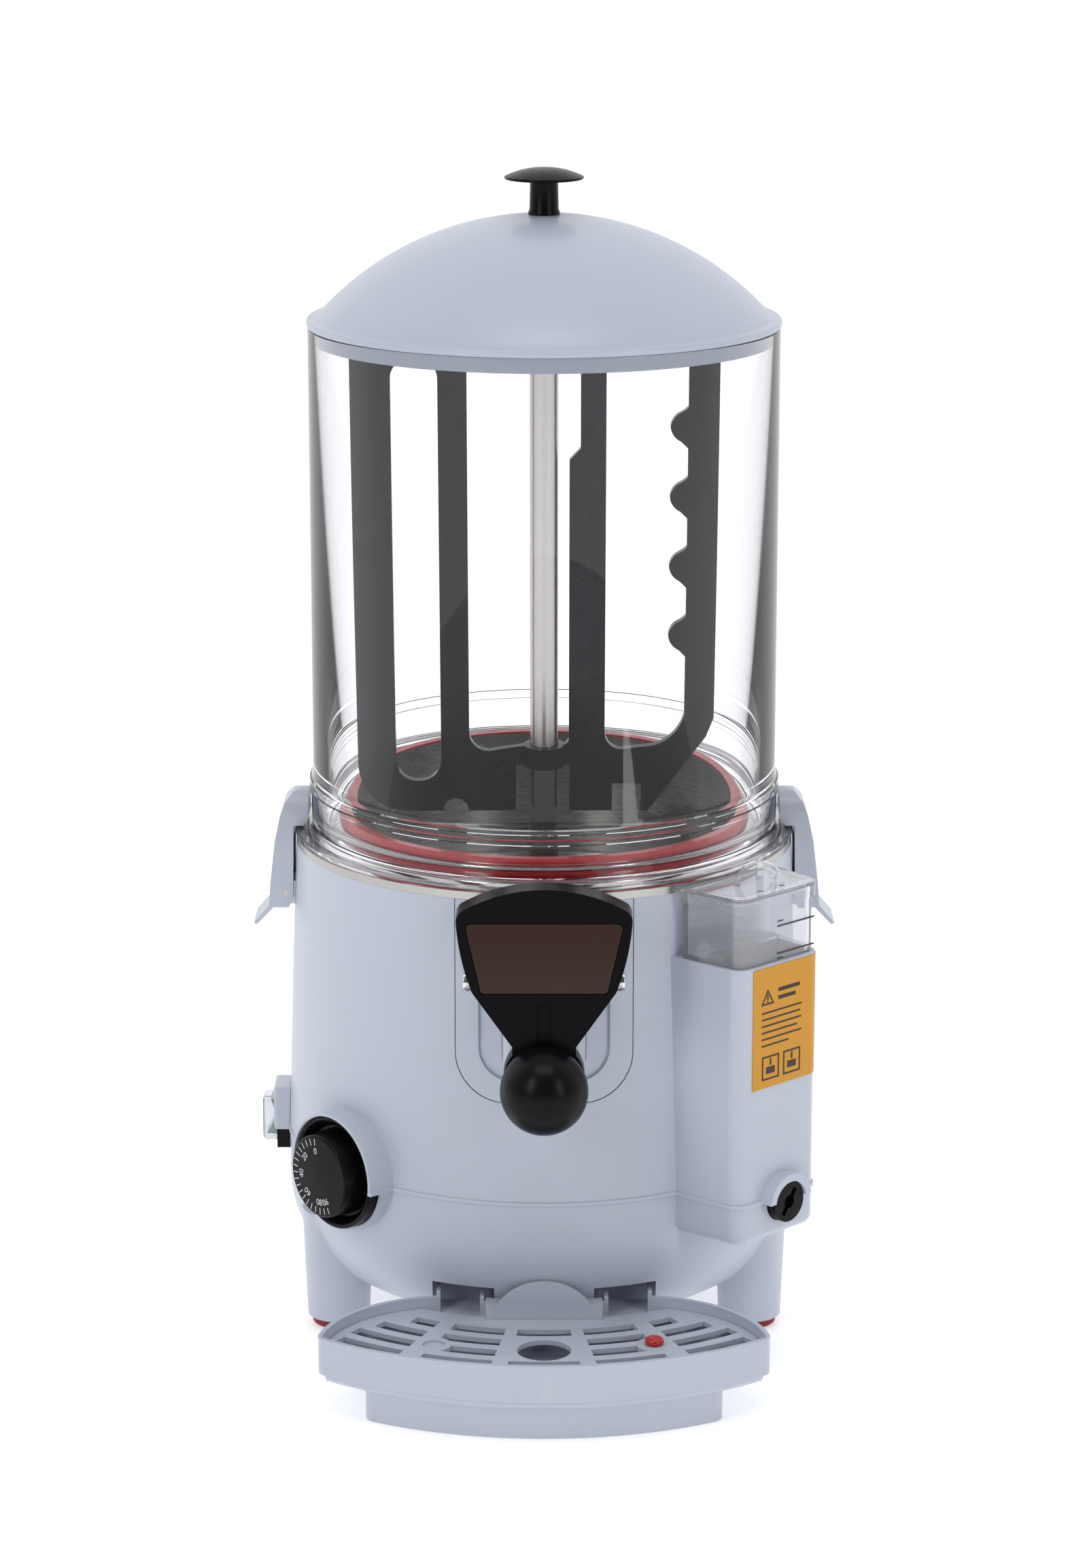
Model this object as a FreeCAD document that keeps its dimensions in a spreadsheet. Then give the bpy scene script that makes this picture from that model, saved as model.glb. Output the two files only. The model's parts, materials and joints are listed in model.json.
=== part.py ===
import FreeCAD, Part
import math
import os

import Sketcher

# Counter-top hot drink dispenser: a clear bowl with a slow stirrer over a water-jacketed heater,
# a lever tap, a water-level tank, a thermostat dial and a drip tray.
#
# Frame: +Z up, the front (tap, tray) faces -Y, the origin is the middle of the footprint on the
# counter.  Every piece is drawn about the tank axis, which stands a little behind the origin.

V = FreeCAD.Vector
doc = FreeCAD.newDocument("drink_dispenser")

SIZES = {
    # footprint: reach in front of and behind the tank axis, reach to each side
    "tray_reach": 207, "rear_reach": 137, "side_reach": 147,
    # casing: a thin shell of revolution in two halves that meet at a seam
    "casing_wall": 3, "seam_height": 91.6, "seam_radius": 130.8, "waist_height": 182,
    "waist_radius": 127.8, "casing_top": 243.4, "casing_top_radius": 125.2,
    "corner_radius": 50, "corner_height": 67, "rim_step": 1.2, "rim_seat": 2.6,
    "lip_out": 0.9, "lip_height": 1.8,
    # legs and their rubber feet
    "leg_x": 104.4, "leg_y": 48, "leg_radius": 15.8, "leg_draft": 2.2, "leg_top": 62,
    "foot_height": 5, "foot_radius": 13.5, "foot_spigot": 6, "foot_edge": 2,
    # clearances: within one body, between bodies, on a running shaft
    "seat_gap": 0.1, "free_gap": 0.4, "shaft_gap": 0.05,
    # water tank with its steel rim
    "tank_radius": 116, "tank_wall": 1, "tank_floor": 118, "tank_corner": 6,
    "rim_radius": 125.2, "rim_plate": 1.2, "rim_mouth": 108,
    # product dish that hangs in the tank
    "dish_radius": 100, "dish_wall": 1, "dish_floor": 197, "dish_corner": 9,
    "dish_neck": 10.2, "dish_flange": 1.3, "dish_flange_radius": 113.4,
    # bowl, clear plastic
    "bowl_radius": 116.3, "bowl_wall": 2.2, "bowl_top": 503.3, "bowl_foot_radius": 117.4,
    "bowl_flange_radius": 125.5, "bowl_flange": 3.4, "bowl_rib_low": 269.9,
    "bowl_rib_high": 276.6, "bowl_rib": 0.6, "bowl_floor": 254.2, "bowl_floor_wall": 2.8,
    # lid: a spherical dome with a rim and a skirt inside the bowl
    "dome_radius": 150.4, "dome_centre": 407, "dome_edge": 112, "lid_wall": 2.2,
    "lid_radius": 116.75, "lid_under": 503.6, "lid_skirt_radius": 113.5, "lid_skirt_end": 495.8,
    # lid knob and its screw
    "knob_radius": 19.4, "knob_top": 580, "knob_edge": 575.4, "knob_stem": 7.15,
    "knob_screw": 2.4, "knob_screw_head": 5, "knob_screw_reach": 12,
    # centre tube, shaft and stirrer
    "tube_radius": 7.2, "tube_wall": 1.2, "tube_low": 104, "tube_top": 482, "shaft_radius": 4,
    "shaft_low": 44, "shaft_top": 499, "nut_radius": 14, "seal_height": 2,
    "paddle_thick": 5, "paddle_low": 247.6, "paddle_top": 500, "paddle_rail": 279.4,
    "paddle_reach": 97, "bar_outer_inner": 76.6, "bar_left_out": 53, "bar_left_in": 38.5,
    "bar_mid_in": 12.7, "bar_mid_out": 31, "bar_mid_top": 18.3, "bar_step_height": 434.5,
    "bar_right_in": 72, "bar_right_out": 87.5, "bump_depth": 9, "bump_width": 24,
    "bump_pitch": 36, "bump_first": 340.5, "hub_radius": 10.6, "hub_height": 11,
    "bridge_low": 484,
    # drive
    "gearbox_width": 64, "gearbox_front": 30, "gearbox_back": 78, "gearbox_height": 35,
    "motor_radius": 29, "motor_height": 40, "motor_offset": 46, "coupling_radius": 11,
    "coupling_low": 60, "coupling_height": 24, "plate_radius": 79, "plate_thick": 1.5,
    # heating element
    "element_ring": 78, "element_radius": 4, "element_height": 134, "element_pins": 20,
    # tap
    "tap_half": 19.8, "tap_back": 121.5, "tap_front": 152.5, "tap_low": 165, "tap_top": 214,
    "tap_corner": 9, "tap_axis": 141, "tap_bore": 11, "spout_bore": 8, "seat_height": 196,
    "outlet_height": 208, "outlet_radius": 7, "outlet_wall": 1.5, "cap_thick": 3,
    "stem_radius": 3, "collar_radius": 6.5, "collar_height": 2.4, "pivot_back": 131,
    "pivot_height": 206, "pivot_radius": 3, "thumb_radius": 4.9, "thumb_low": 26.5,
    "thumb_high": 39, "thumb_root": 12.2, "spring_radius": 6.5, "spring_wire": 1.2,
    # tap lever: the shield, its neck and ball
    "shield_top": 258, "shield_half": 41.7, "shield_shoulder": 247.6, "shield_side": 243,
    "shield_waist_half": 34, "shield_waist": 209.6, "neck_half": 15.1, "neck_height": 184,
    "shield_face": 155, "face_lean": 11, "shield_depth": 14, "shield_wall": 3,
    "ball_radius": 20.9, "ball_reach": 176, "ball_height": 165.5, "boss_radius": 19.3,
    "plate_top": 242, "plate_low": 209, "plate_top_half": 37, "plate_low_half": 29.5,
    "name_plate": 0.9, "groove_half": 4, "groove_depth": 1.6, "ear_low": 21, "ear_high": 25,
    # front panel behind the tap
    "panel_half": 42.8, "panel_low": 143.5, "panel_corner": 24, "panel_inner_half": 31.5,
    "panel_inner_low": 154.5, "panel_recess": 1.9, "panel_gap": 0.25,
    # water-level tank in its housing on the right front
    "box_azimuth": -46, "box_root": 120, "box_root_half": 33.5, "box_face": 164.6,
    "box_face_half": 28, "box_low": 72, "box_top": 212, "box_wall": 2.5, "box_back": 134,
    "box_corner": 9, "box_edge": 5, "sight_low": 150, "sight_top": 245.5, "sight_wall": 2,
    "sight_inset": 2.2, "sight_back": 127.6,
    "sight_rim": 1.2, "sight_rim_height": 5.5, "sight_lid": 1.6, "sight_lip": 2.4, "handle_radius": 12,
    "handle_band": 2.6, "handle_width": 3, "label_low": 150.5, "label_high": 211,
    "label_left": 19.8, "label_right": 27.5, "label_thick": 0.5, "pipe_height": 160, "pipe_radius": 5,
    # drain plug below the housing
    "plug_radius": 10.2, "plug_height": 90.3, "plug_aside": 2.5, "plug_proud": 5,
    "plug_stem": 6, "plug_stem_length": 15, "slot_turn": -35, "slot_length": 15,
    "blade_width": 2.6, "cowl_radius": 14.5, "cowl_proud": 6.5,
    # thermostat dial on the left front
    "dial_azimuth": 222, "dial_height": 95.9, "dial_radius": 20.7, "dial_face": 149.7,
    "bezel_radius": 28.4, "bezel_face": 141, "bezel_lip": 3.5, "bezel_floor": 135,
    "bezel_back": 127, "boss_face": 142, "boss_face_low": 134.5, "dial_boss": 30.4,
    "dial_boss_root": 30.8, "spindle_radius": 3,
    # rocker switch on the left side, under a clear cover and a hood
    "switch_low": 79, "switch_high": 106.2, "switch_half": 8, "switch_face": 137.3,
    "switch_body_half": 7, "switch_body_low": 81.5, "switch_body_high": 105.5,
    "switch_body_depth": 26, "rocker_half": 5.4, "rocker_centre": 94.2, "rocker_pivot": 133,
    "rocker_pin": 1.2, "rocker_arm": 9.3, "rocker_rise": 8.6, "rocker_dip": 4.6,
    "rocker_tilt": 7, "cover_face": 144.6, "cover_low": 82.4, "cover_high": 105.8,
    "cover_half": 7.5, "cover_wall": 0.9, "cover_round": 3, "hood_low": 89.6, "hood_high": 112.2,
    "hood_half": 10.5, "hood_face": 138.6, "hood_wall": 2.1,
    # side latches
    "latch_half": 13, "latch_wall": 2.6, "latch_pin_reach": 130.7, "latch_pin_height": 216.3,
    "latch_pin": 1.8, "hook_nose": 118.6, "hook_under": 251.6, "latch_shoulder": 259,
    "latch_crown": 13.5, "latch_foot": 7.5, "tail_low": 200, "bracket_half": 9.8,
    "bracket_top": 222, "bracket_low": 210,
    # drip tray: a stadium shape cut by a wide front arc and by the round body behind
    "tray_top": 39.5, "tray_band": 21, "tray_tier": 15, "tray_wall": 2.4, "tray_floor": 2.4,
    "tray_side": 46, "tray_round": 63.5, "tray_back": 178, "tray_front": 181.8,
    "tray_body_gap": 123.8, "tier_inset": 3.5, "tray_corner": 7, "foot_side": 46, "foot_round": 40,
    "foot_front": 174.8, "foot_body": 140, "tab_radius": 28, "tab_centre": 25,
    "tab_plane": 130, "tab_thick": 2.6, "tab_half": 28.5, "tab_ledge": 41,
    "window_in": 24.5, "window_out": 55, "window_top": 46.7, "window_low": 27, "pocket_end": 94,
    "tongue_in": 29.5, "tongue_out": 53, "tongue_end": 100, "tongue_top": 42,
    # drip grid and its level float
    "grid_top": 34, "grid_thick": 2.4, "grid_ledge": 2, "slot_width": 8, "slot_first": 121.5,
    "slot_pitch": 13.5, "grid_hole": 13, "grid_hole_reach": 173, "float_x": 53,
    "float_reach": 165, "float_radius": 4.6, "float_rise": 3.2, "float_stem": 3,
    # cable gland at the back, and the screws that join the casing halves
    "gland_radius": 9, "gland_height": 60, "gland_bore": 4, "screw_ring": 60,
    "screw_radius": 2, "screw_head": 4,
}
LATCH_OUTER = [(121.5, 269.3), (126.5, 267.6), (130.4, 263.2), (133, 256.3), (135.8, 243.4),
               (138.3, 222), (139.2, 210)]
GRID_COLUMNS = {1: (-30.5, -24.5), 2: (-20.8, -8.7), 3: (-6, 6), 4: (8.7, 20.8), 5: (24.5, 30.5)}
GRID_OUTER_END = [30.5, 35.2, 37, 36.5]
SCREW_ANGLES = [45, 135, 225, 315]

sheet = doc.addObject("Spreadsheet::Sheet", "sizes")
for row, (alias, amount) in enumerate(SIZES.items(), 1):
    sheet.set(f"A{row}", alias)
    sheet.set(f"B{row}", str(amount))
    sheet.setAlias(f"B{row}", alias)
doc.recompute()


class Size:
    """A number together with the sheet expression that gives it."""

    def __init__(self, value, text=None):
        self.value = float(value)
        self.text = text or f"({self.value:.6f})"

    def _with(self, sign, other, value):
        return Size(value, f"({self.text} {sign} {other.text})")

    def __add__(self, other):
        other = size(other)
        return self._with("+", other, self.value + other.value)

    def __sub__(self, other):
        other = size(other)
        return self._with("-", other, self.value - other.value)

    def __mul__(self, other):
        other = size(other)
        return self._with("*", other, self.value * other.value)

    def __truediv__(self, other):
        other = size(other)
        return self._with("/", other, self.value / other.value)

    def __radd__(self, other):
        return size(other) + self

    def __rsub__(self, other):
        return size(other) - self

    def __rmul__(self, other):
        return size(other) * self

    def __neg__(self):
        return size(0) - self


def size(amount):
    return amount if isinstance(amount, Size) else Size(amount)


def root(amount):
    return Size(math.sqrt(amount.value), f"sqrt({amount.text})")


def cosine(angle):
    angle = size(angle)
    return Size(math.cos(math.radians(angle.value)), f"cos({angle.text})")


def sine(angle):
    angle = size(angle)
    return Size(math.sin(math.radians(angle.value)), f"sin({angle.text})")


class Sheet:
    """The driving dimensions, each read by its alias."""

    def __getattr__(self, alias):
        return Size(SIZES[alias], f"sizes.{alias}")


s = Sheet()
axis_y = (s.tray_reach - s.rear_reach) / 2
spots = {}
nodes = []


# ---- building blocks ----

def bind(item, prop, amount):
    item.setExpression(prop, size(amount).text)


def place(item, x=0, y=0, z=0, yaw=0, pitch=0, roll=0):
    """Stand an item at a point, rolled about X, pitched about Y and then yawed about Z."""
    spot = [size(n) for n in (x, y, z, yaw, pitch)]
    spots[item.Name] = spot
    x, y, z, yaw, pitch = (n.text for n in spot)
    roll = size(roll).text
    item.setExpression("Placement", f"create(<<placement>>; create(<<vector>>; {x}; {y}; {z}); "
                                    f"create(<<rotation>>; {yaw}; {pitch}; {roll}))")
    return item


def node(item, label, yaw=0):
    """Name a finished sub-part and move it from the tank axis to its place in the frame."""
    x, y, z, own_yaw, pitch = spots.get(item.Name, [size(0)] * 5)
    place(item, x, y + axis_y, z, own_yaw + yaw, pitch)
    item.Label = label
    nodes.append(item)
    return item


def rod(name, radius, low, high, x=0, y=0):
    item = doc.addObject("Part::Cylinder", name)
    bind(item, "Radius", radius)
    bind(item, "Height", size(high) - low)
    return place(item, x, y, low)


def spoke(name, radius, start, end, azimuth, height, aside=0, end_radius=None):
    """A round bar, or a cone, that points away from the tank axis."""
    azimuth = size(azimuth)
    item = doc.addObject("Part::Cone" if end_radius else "Part::Cylinder", name)
    if end_radius:
        bind(item, "Radius1", radius)
        bind(item, "Radius2", end_radius)
    else:
        bind(item, "Radius", radius)
    bind(item, "Height", size(end) - start)
    x = start * cosine(azimuth) - aside * sine(azimuth)
    y = start * sine(azimuth) + aside * cosine(azimuth)
    return place(item, x, y, height, azimuth, 90)


def crossbar(name, radius, low, high, y, z):
    """A round bar along X."""
    item = doc.addObject("Part::Cylinder", name)
    bind(item, "Radius", radius)
    bind(item, "Height", size(high) - low)
    return place(item, low, y, z, 0, 90)


def brick(name, x, y, z):
    item = doc.addObject("Part::Box", name)
    for prop, (low, high) in (("Length", x), ("Width", y), ("Height", z)):
        bind(item, prop, size(high) - low)
    return place(item, x[0], y[0], z[0])


def along_y(name, radius, x, z, low, high):
    """A round bar along Y."""
    item = doc.addObject("Part::Cylinder", name)
    bind(item, "Radius", radius)
    bind(item, "Height", size(high) - low)
    return place(item, x, low, z, 90, 90)


def ball(name, radius, x, y, z):
    item = doc.addObject("Part::Sphere", name)
    bind(item, "Radius", radius)
    return place(item, x, y, z)


def together(name, *items):
    item = doc.addObject("Part::MultiFuse", name)
    item.Shapes = list(items)
    item.Refine = True
    return item


def without(name, base, *tools):
    item = doc.addObject("Part::Cut", name)
    item.Base = base
    item.Tool = tools[0] if len(tools) == 1 else together(name + "_tools", *tools)
    return item


def shared(name, first, second):
    item = doc.addObject("Part::Common", name)
    item.Base = first
    item.Tool = second
    return item


def rounded(name, base, radius, choose):
    """Fillet the edges that the rule picks."""
    doc.recompute()
    item = doc.addObject("Part::Fillet", name)
    item.Base = base
    picked = [n for n, edge in enumerate(base.Shape.Edges, 1) if choose(edge)]
    item.Edges = [(n, radius.value, radius.value) for n in picked]
    return item


def arc_centre(start, end, radius):
    """Centre of the short arc from start to end; a positive radius turns left."""
    middle = (start + end) * 0.5
    half = (end - start) * 0.5
    left = V(-half.y, half.x, 0).normalize()
    rise = math.sqrt(max(radius * radius - half.Length ** 2, 0))
    return middle + left * math.copysign(rise, radius)


def draw(sketch, outline):
    """Draw a closed outline; a corner is (x, y), or (x, y, r) when an arc of radius r leads to it.

    Every corner is held by its two coordinates and every arc by its radius.
    """
    corners = [tuple(size(n) for n in corner) for corner in outline]
    points = [V(corner[0].value, corner[1].value, 0) for corner in corners]
    first = sketch.GeometryCount
    ends = []
    for n, start in enumerate(points):
        nxt = corners[(n + 1) % len(corners)]
        end = points[(n + 1) % len(points)]
        if len(nxt) == 2:
            sketch.addGeometry(Part.LineSegment(start, end), False)
            ends.append((1, 2))
            continue
        radius = nxt[2].value
        centre = arc_centre(start, end, radius)
        circle = Part.Circle(centre, V(0, 0, 1), abs(radius))
        angles = [math.atan2(p.y - centre.y, p.x - centre.x) for p in (start, end)]
        if radius < 0:
            angles.reverse()
        sketch.addGeometry(Part.ArcOfCircle(circle, *angles), False)
        ends.append((1, 2) if radius > 0 else (2, 1))
    for n, corner in enumerate(corners):
        here = first + n
        before = first + (n - 1) % len(corners)
        sketch.addConstraint(Sketcher.Constraint(
            "Coincident", before, ends[n - 1][1], here, ends[n][0]))
        for kind, amount in (("DistanceX", corner[0]), ("DistanceY", corner[1])):
            held = sketch.addConstraint(Sketcher.Constraint(
                kind, -1, 1, here, ends[n][0], amount.value))
            sketch.setExpression(f"Constraints[{held}]", amount.text)
        if len(corner) == 3:
            held = sketch.addConstraint(Sketcher.Constraint("Radius", before, abs(corner[2].value)))
            sketch.setExpression(f"Constraints[{held}]", f"abs({corner[2].text})")


TURNS = {"XY": FreeCAD.Rotation(), "XZ": FreeCAD.Rotation(V(1, 0, 0), 90),
         "YZ": FreeCAD.Rotation(V(1, 1, 1), 120)}
NORMALS = {"XY": V(0, 0, 1), "XZ": V(0, 1, 0), "YZ": V(1, 0, 0)}
BASES = {"XY": "z", "XZ": "y", "YZ": "x"}


def slab(name, plane, outline, low, high):
    """An outline on one of the main planes, extruded from low to high along the third axis."""
    sketch = doc.addObject("Sketcher::SketchObject", name + "_outline")
    sketch.Placement.Rotation = TURNS[plane]
    sketch.setExpression(f"Placement.Base.{BASES[plane]}", size(low).text)
    draw(sketch, outline)
    item = doc.addObject("Part::Extrusion", name)
    item.Base = sketch
    item.DirMode = "Custom"
    item.Dir = NORMALS[plane]
    item.Solid = True
    bind(item, "LengthFwd", size(high) - low)
    return item


def plane_of(body, role):
    return next(f for f in body.Origin.OriginFeatures if f.Role == role)


def turned(name, outline):
    """A body revolved about its own Z axis from a half section."""
    body = doc.addObject("PartDesign::Body", name)
    sketch = body.newObject("Sketcher::SketchObject", name + "_section")
    sketch.AttachmentSupport = [(plane_of(body, "XZ_Plane"), "")]
    sketch.MapMode = "FlatFace"
    draw(sketch, outline)
    revolve = body.newObject("PartDesign::Revolution", name + "_turn")
    revolve.Profile = sketch
    revolve.ReferenceAxis = (sketch, ["V_Axis"])
    revolve.Angle = 360
    return body


def ring(name, inner, outer, low, high):
    return turned(name, [(inner, low), (outer, low), (outer, high), (inner, high)])


# ---- casing ----

def casing_solid(name, inset):
    """The outer form of the upper casing, or its hollow when inset by the wall."""
    return turned(name, [
        (0, s.seam_height), (s.seam_radius - inset, s.seam_height),
        (s.waist_radius - inset, s.waist_height), (s.casing_top_radius - inset, s.casing_top),
        (0, s.casing_top)])


def lower_solid(name, inset):
    radius = s.corner_radius - inset
    return turned(name, [
        (0, s.corner_height - radius), (s.seam_radius - s.corner_radius,
                                        s.corner_height - radius),
        (s.seam_radius - inset, s.corner_height, radius),
        (s.seam_radius - inset, s.seam_height), (0, s.seam_height)])


def box_form(name, inset, low, high, back):
    """The water-tank housing seen from above: a trapezoid that narrows away from the body."""
    slope = (s.box_root_half - s.box_face_half) / (s.box_face - s.box_root)
    face = s.box_face - inset
    face_half = s.box_face_half - inset + slope * inset
    back_half = face_half + slope * (face - back)
    return slab(name, "XY", [(back, -back_half), (face, -face_half), (face, face_half),
                             (back, back_half)], low, high)


def upright(edge):
    return abs(edge.tangentAt(edge.FirstParameter).z) > 0.99


def outer_corner(edge):
    return upright(edge) and edge.CenterOfMass.x > SIZES["box_face"] - 8


def housing(name, low, high, floor, grow=0):
    block = box_form(name + "_block", -size(grow), low, high, s.box_root)
    block = rounded(name + "_corners", block, s.box_corner, outer_corner)
    if floor:
        block = rounded(name + "_edge", block, s.box_edge,
                        lambda e: abs(e.CenterOfMass.z - SIZES["box_low"]) < 0.01
                        and e.CenterOfMass.x > SIZES["box_root"] + 1)
    return place(block, yaw=s.box_azimuth)


def housing_hollow(name, low, high):
    block = box_form(name + "_form", s.box_wall, low, high, s.box_back)
    block = rounded(name + "_rounds", block, s.box_corner - s.box_wall, outer_corner)
    return place(block, yaw=s.box_azimuth)


def dial_boss(name, face, grow=0):
    return spoke(name, s.dial_boss_root + grow, 112, face, s.dial_azimuth, s.dial_height,
                 end_radius=s.dial_boss + grow)


def half_space(name, low, high):
    return brick(name, (-s.side_reach - 60, s.side_reach + 60), (-220, 220), (low, high))


def plug_hole(name):
    return spoke(name, s.plug_radius + s.free_gap, 150, 175, s.box_azimuth, s.plug_height,
                 s.plug_aside)


def panel_outline(half, low, high, corner):
    return [(-half, high), (-half, low + corner), (-half + corner, low, corner),
            (half - corner, low), (half, low + corner, corner), (half, high)]


def upper_casing():
    outer = casing_solid("casing_outer", size(0))
    hollow = casing_solid("casing_hollow", s.casing_wall)
    boss = shared("boss_upper", dial_boss("boss_upper_cone", s.boss_face),
                  half_space("boss_upper_zone", s.seam_height, 160))
    cowl = shared("cowl_upper",
                  spoke("cowl_ring", s.cowl_radius, s.box_face - 10, s.box_face + s.cowl_proud,
                        s.box_azimuth, s.plug_height, s.plug_aside),
                  half_space("cowl_zone", s.seam_height, 160))
    seat = ring("rim_ledge", s.casing_top_radius - s.casing_wall - 1,
                s.casing_top_radius - s.rim_step, s.casing_top - 4, s.casing_top + s.rim_seat)
    form = together("casing_form", outer, housing("housing_upper", s.seam_height, s.box_top,
                                                  False), boss, cowl)
    panel_hole = slab("panel_hole", "XZ", panel_outline(
        s.panel_half + s.panel_gap, s.panel_low - s.panel_gap, s.casing_top + 10,
        s.panel_corner), -150, -80)
    switch_hole = brick("switch_hole", (-150, -100), (-s.switch_body_half - 0.4,
                                                      s.switch_body_half + 0.4),
                        (s.switch_body_low - 1, s.switch_body_high + 0.5))
    lip_top = s.seam_height + s.lip_height
    lip = shared("seam_lip_zone", together(
        "seam_lip_forms", casing_solid("lip_casing", -s.lip_out),
        housing("lip_housing", s.seam_height, lip_top, False, s.lip_out),
        dial_boss("lip_boss", s.boss_face, s.lip_out)),
        half_space("lip_zone", s.seam_height, lip_top))
    lip = without("seam_lip", lip, brick(
        "lip_switch_gap", (-160, -100), (-s.hood_half - s.free_gap, s.hood_half + s.free_gap),
        (s.seam_height - 5, lip_top + 5)))
    item = without(
        "casing_upper_cut", together("casing_with_lip", form, lip), hollow,
        housing_hollow("hollow_upper", s.seam_height - 5, s.box_top + 5), panel_hole,
        spoke("bezel_hole", s.bezel_radius + 0.3, 100, 150, s.dial_azimuth, s.dial_height),
        switch_hole, plug_hole("plug_hole_upper"),
        spoke("pipe_hole", s.pipe_radius + 0.2, 110, 140, s.box_azimuth, s.pipe_height))
    item = together("upper_casing", item, without("rim_ledge_cut", seat, slab(
        "ledge_gap", "XZ", panel_outline(s.panel_half + s.panel_gap, s.panel_low,
                                         s.casing_top + 10, s.panel_corner), -150, -80)))
    node(item, "upper_casing")


def leg(name, x, y):
    item = doc.addObject("Part::Cone", name)
    bind(item, "Radius1", s.leg_radius)
    bind(item, "Radius2", s.leg_radius + s.leg_draft)
    bind(item, "Height", s.leg_top - s.foot_height)
    return place(item, x, y, s.foot_height)


LEGS = {"front_left": (-1, -1), "front_right": (1, -1), "rear_left": (-1, 1),
        "rear_right": (1, 1)}


def lower_casing():
    legs = [leg("leg_" + name, x * s.leg_x, y * s.leg_y) for name, (x, y) in LEGS.items()]
    boss = shared("boss_lower", dial_boss("boss_lower_cone", s.boss_face_low),
                  half_space("boss_lower_zone", 30, s.seam_height))
    form = together("lower_form", lower_solid("lower_outer", size(0)), boss,
                    housing("housing_lower", s.box_low, s.seam_height, True), *legs)
    windows = [brick(f"window_{side}", (side * (s.window_in + s.window_out) / 2
                                        - (s.window_out - s.window_in) / 2,
                                        side * (s.window_in + s.window_out) / 2
                                        + (s.window_out - s.window_in) / 2),
                     (-140, -s.pocket_end), (s.window_low, s.window_top)) for side in (-1, 1)]
    pockets = [brick(f"pocket_{side}", (side * (s.window_in + s.window_out) / 2
                                        - (s.window_out - s.window_in) / 2 - 2,
                                        side * (s.window_in + s.window_out) / 2
                                        + (s.window_out - s.window_in) / 2 + 2),
                     (-140, -s.pocket_end + 2), (s.window_low - 2, s.window_top + 2))
               for side in (-1, 1)]
    switch_hole = brick("switch_hole_low", (-150, -100),
                        (-s.switch_body_half - 0.4, s.switch_body_half + 0.4),
                        (s.switch_body_low - 1, s.seam_height + 5))
    sockets = [rod(f"foot_socket_{n}", s.foot_spigot + s.seat_gap, s.foot_height - 1,
                   s.foot_height + 8, x * s.leg_x, y * s.leg_y)
               for n, (x, y) in enumerate(LEGS.values())]
    hollowed = without("lower_hollowed", form, lower_solid("lower_hollow", s.casing_wall))
    pocket_form = shared("pocket_form", together("pocket_pair", *pockets),
                         lower_solid("pocket_zone", size(0)))
    item = without(
        "lower_casing", together("lower_with_pockets", hollowed, pocket_form),
        housing_hollow("hollow_lower", s.box_low + s.casing_wall, s.seam_height + 5),
        spoke("bezel_hole_low", s.bezel_radius + 0.3, 100, 150, s.dial_azimuth, s.dial_height),
        spoke("gland_hole", s.gland_radius - 1.9, 100, 140, 90, s.gland_height),
        switch_hole, plug_hole("plug_hole_lower"), *windows, *sockets,
        *[rod(f"screw_hole_{n}", s.screw_radius + s.seat_gap, 10, 30,
              s.screw_ring * cosine(angle), s.screw_ring * sine(angle))
          for n, angle in enumerate(SCREW_ANGLES)])
    node(item, "lower_casing")


def feet():
    """Rubber pads, each with a spigot pressed into its leg."""
    for name, (x, y) in LEGS.items():
        pad = turned(f"foot_pad_{name}", [
            (0, 0), (s.foot_radius - s.foot_edge, 0), (s.foot_radius, s.foot_edge, s.foot_edge),
            (s.foot_radius, s.foot_height), (s.foot_spigot, s.foot_height),
            (s.foot_spigot, s.foot_height + 6), (0, s.foot_height + 6)])
        node(place(pad, x * s.leg_x, y * s.leg_y, 0), f"foot_{name}")


def floor_parts():
    low = s.corner_height - s.corner_radius + s.casing_wall
    plate = without("base_plate", ring("plate_disc", size(6), s.plate_radius, low,
                                       low + s.plate_thick),
                    *[rod(f"plate_hole_{n}", s.screw_radius + s.seat_gap, low - 2, low + 5,
                          s.screw_ring * cosine(angle), s.screw_ring * sine(angle))
                      for n, angle in enumerate(SCREW_ANGLES)])
    node(plate, "base_plate")
    screws = []
    for n, angle in enumerate(SCREW_ANGLES):
        x, y = s.screw_ring * cosine(angle), s.screw_ring * sine(angle)
        screws.append(rod(f"screw_head_{n}", s.screw_head, low - s.casing_wall - 1.6,
                          low - s.casing_wall, x, y))
        screws.append(rod(f"screw_shank_{n}", s.screw_radius, low - s.casing_wall,
                          low + s.plate_thick + 4, x, y))
    node(together("casing_screws", *screws), "casing_screws")
    node(without("cable_gland", together(
        "gland_form", spoke("gland_head", s.gland_radius, s.rear_reach - 5, s.rear_reach, 90,
                            s.gland_height),
        spoke("gland_thread", s.gland_radius - 2, 118, s.rear_reach - 4, 90, s.gland_height)),
        spoke("gland_bore_cut", s.gland_bore, 110, 150, 90, s.gland_height)), "cable_gland")


# ---- drive ----

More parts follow.
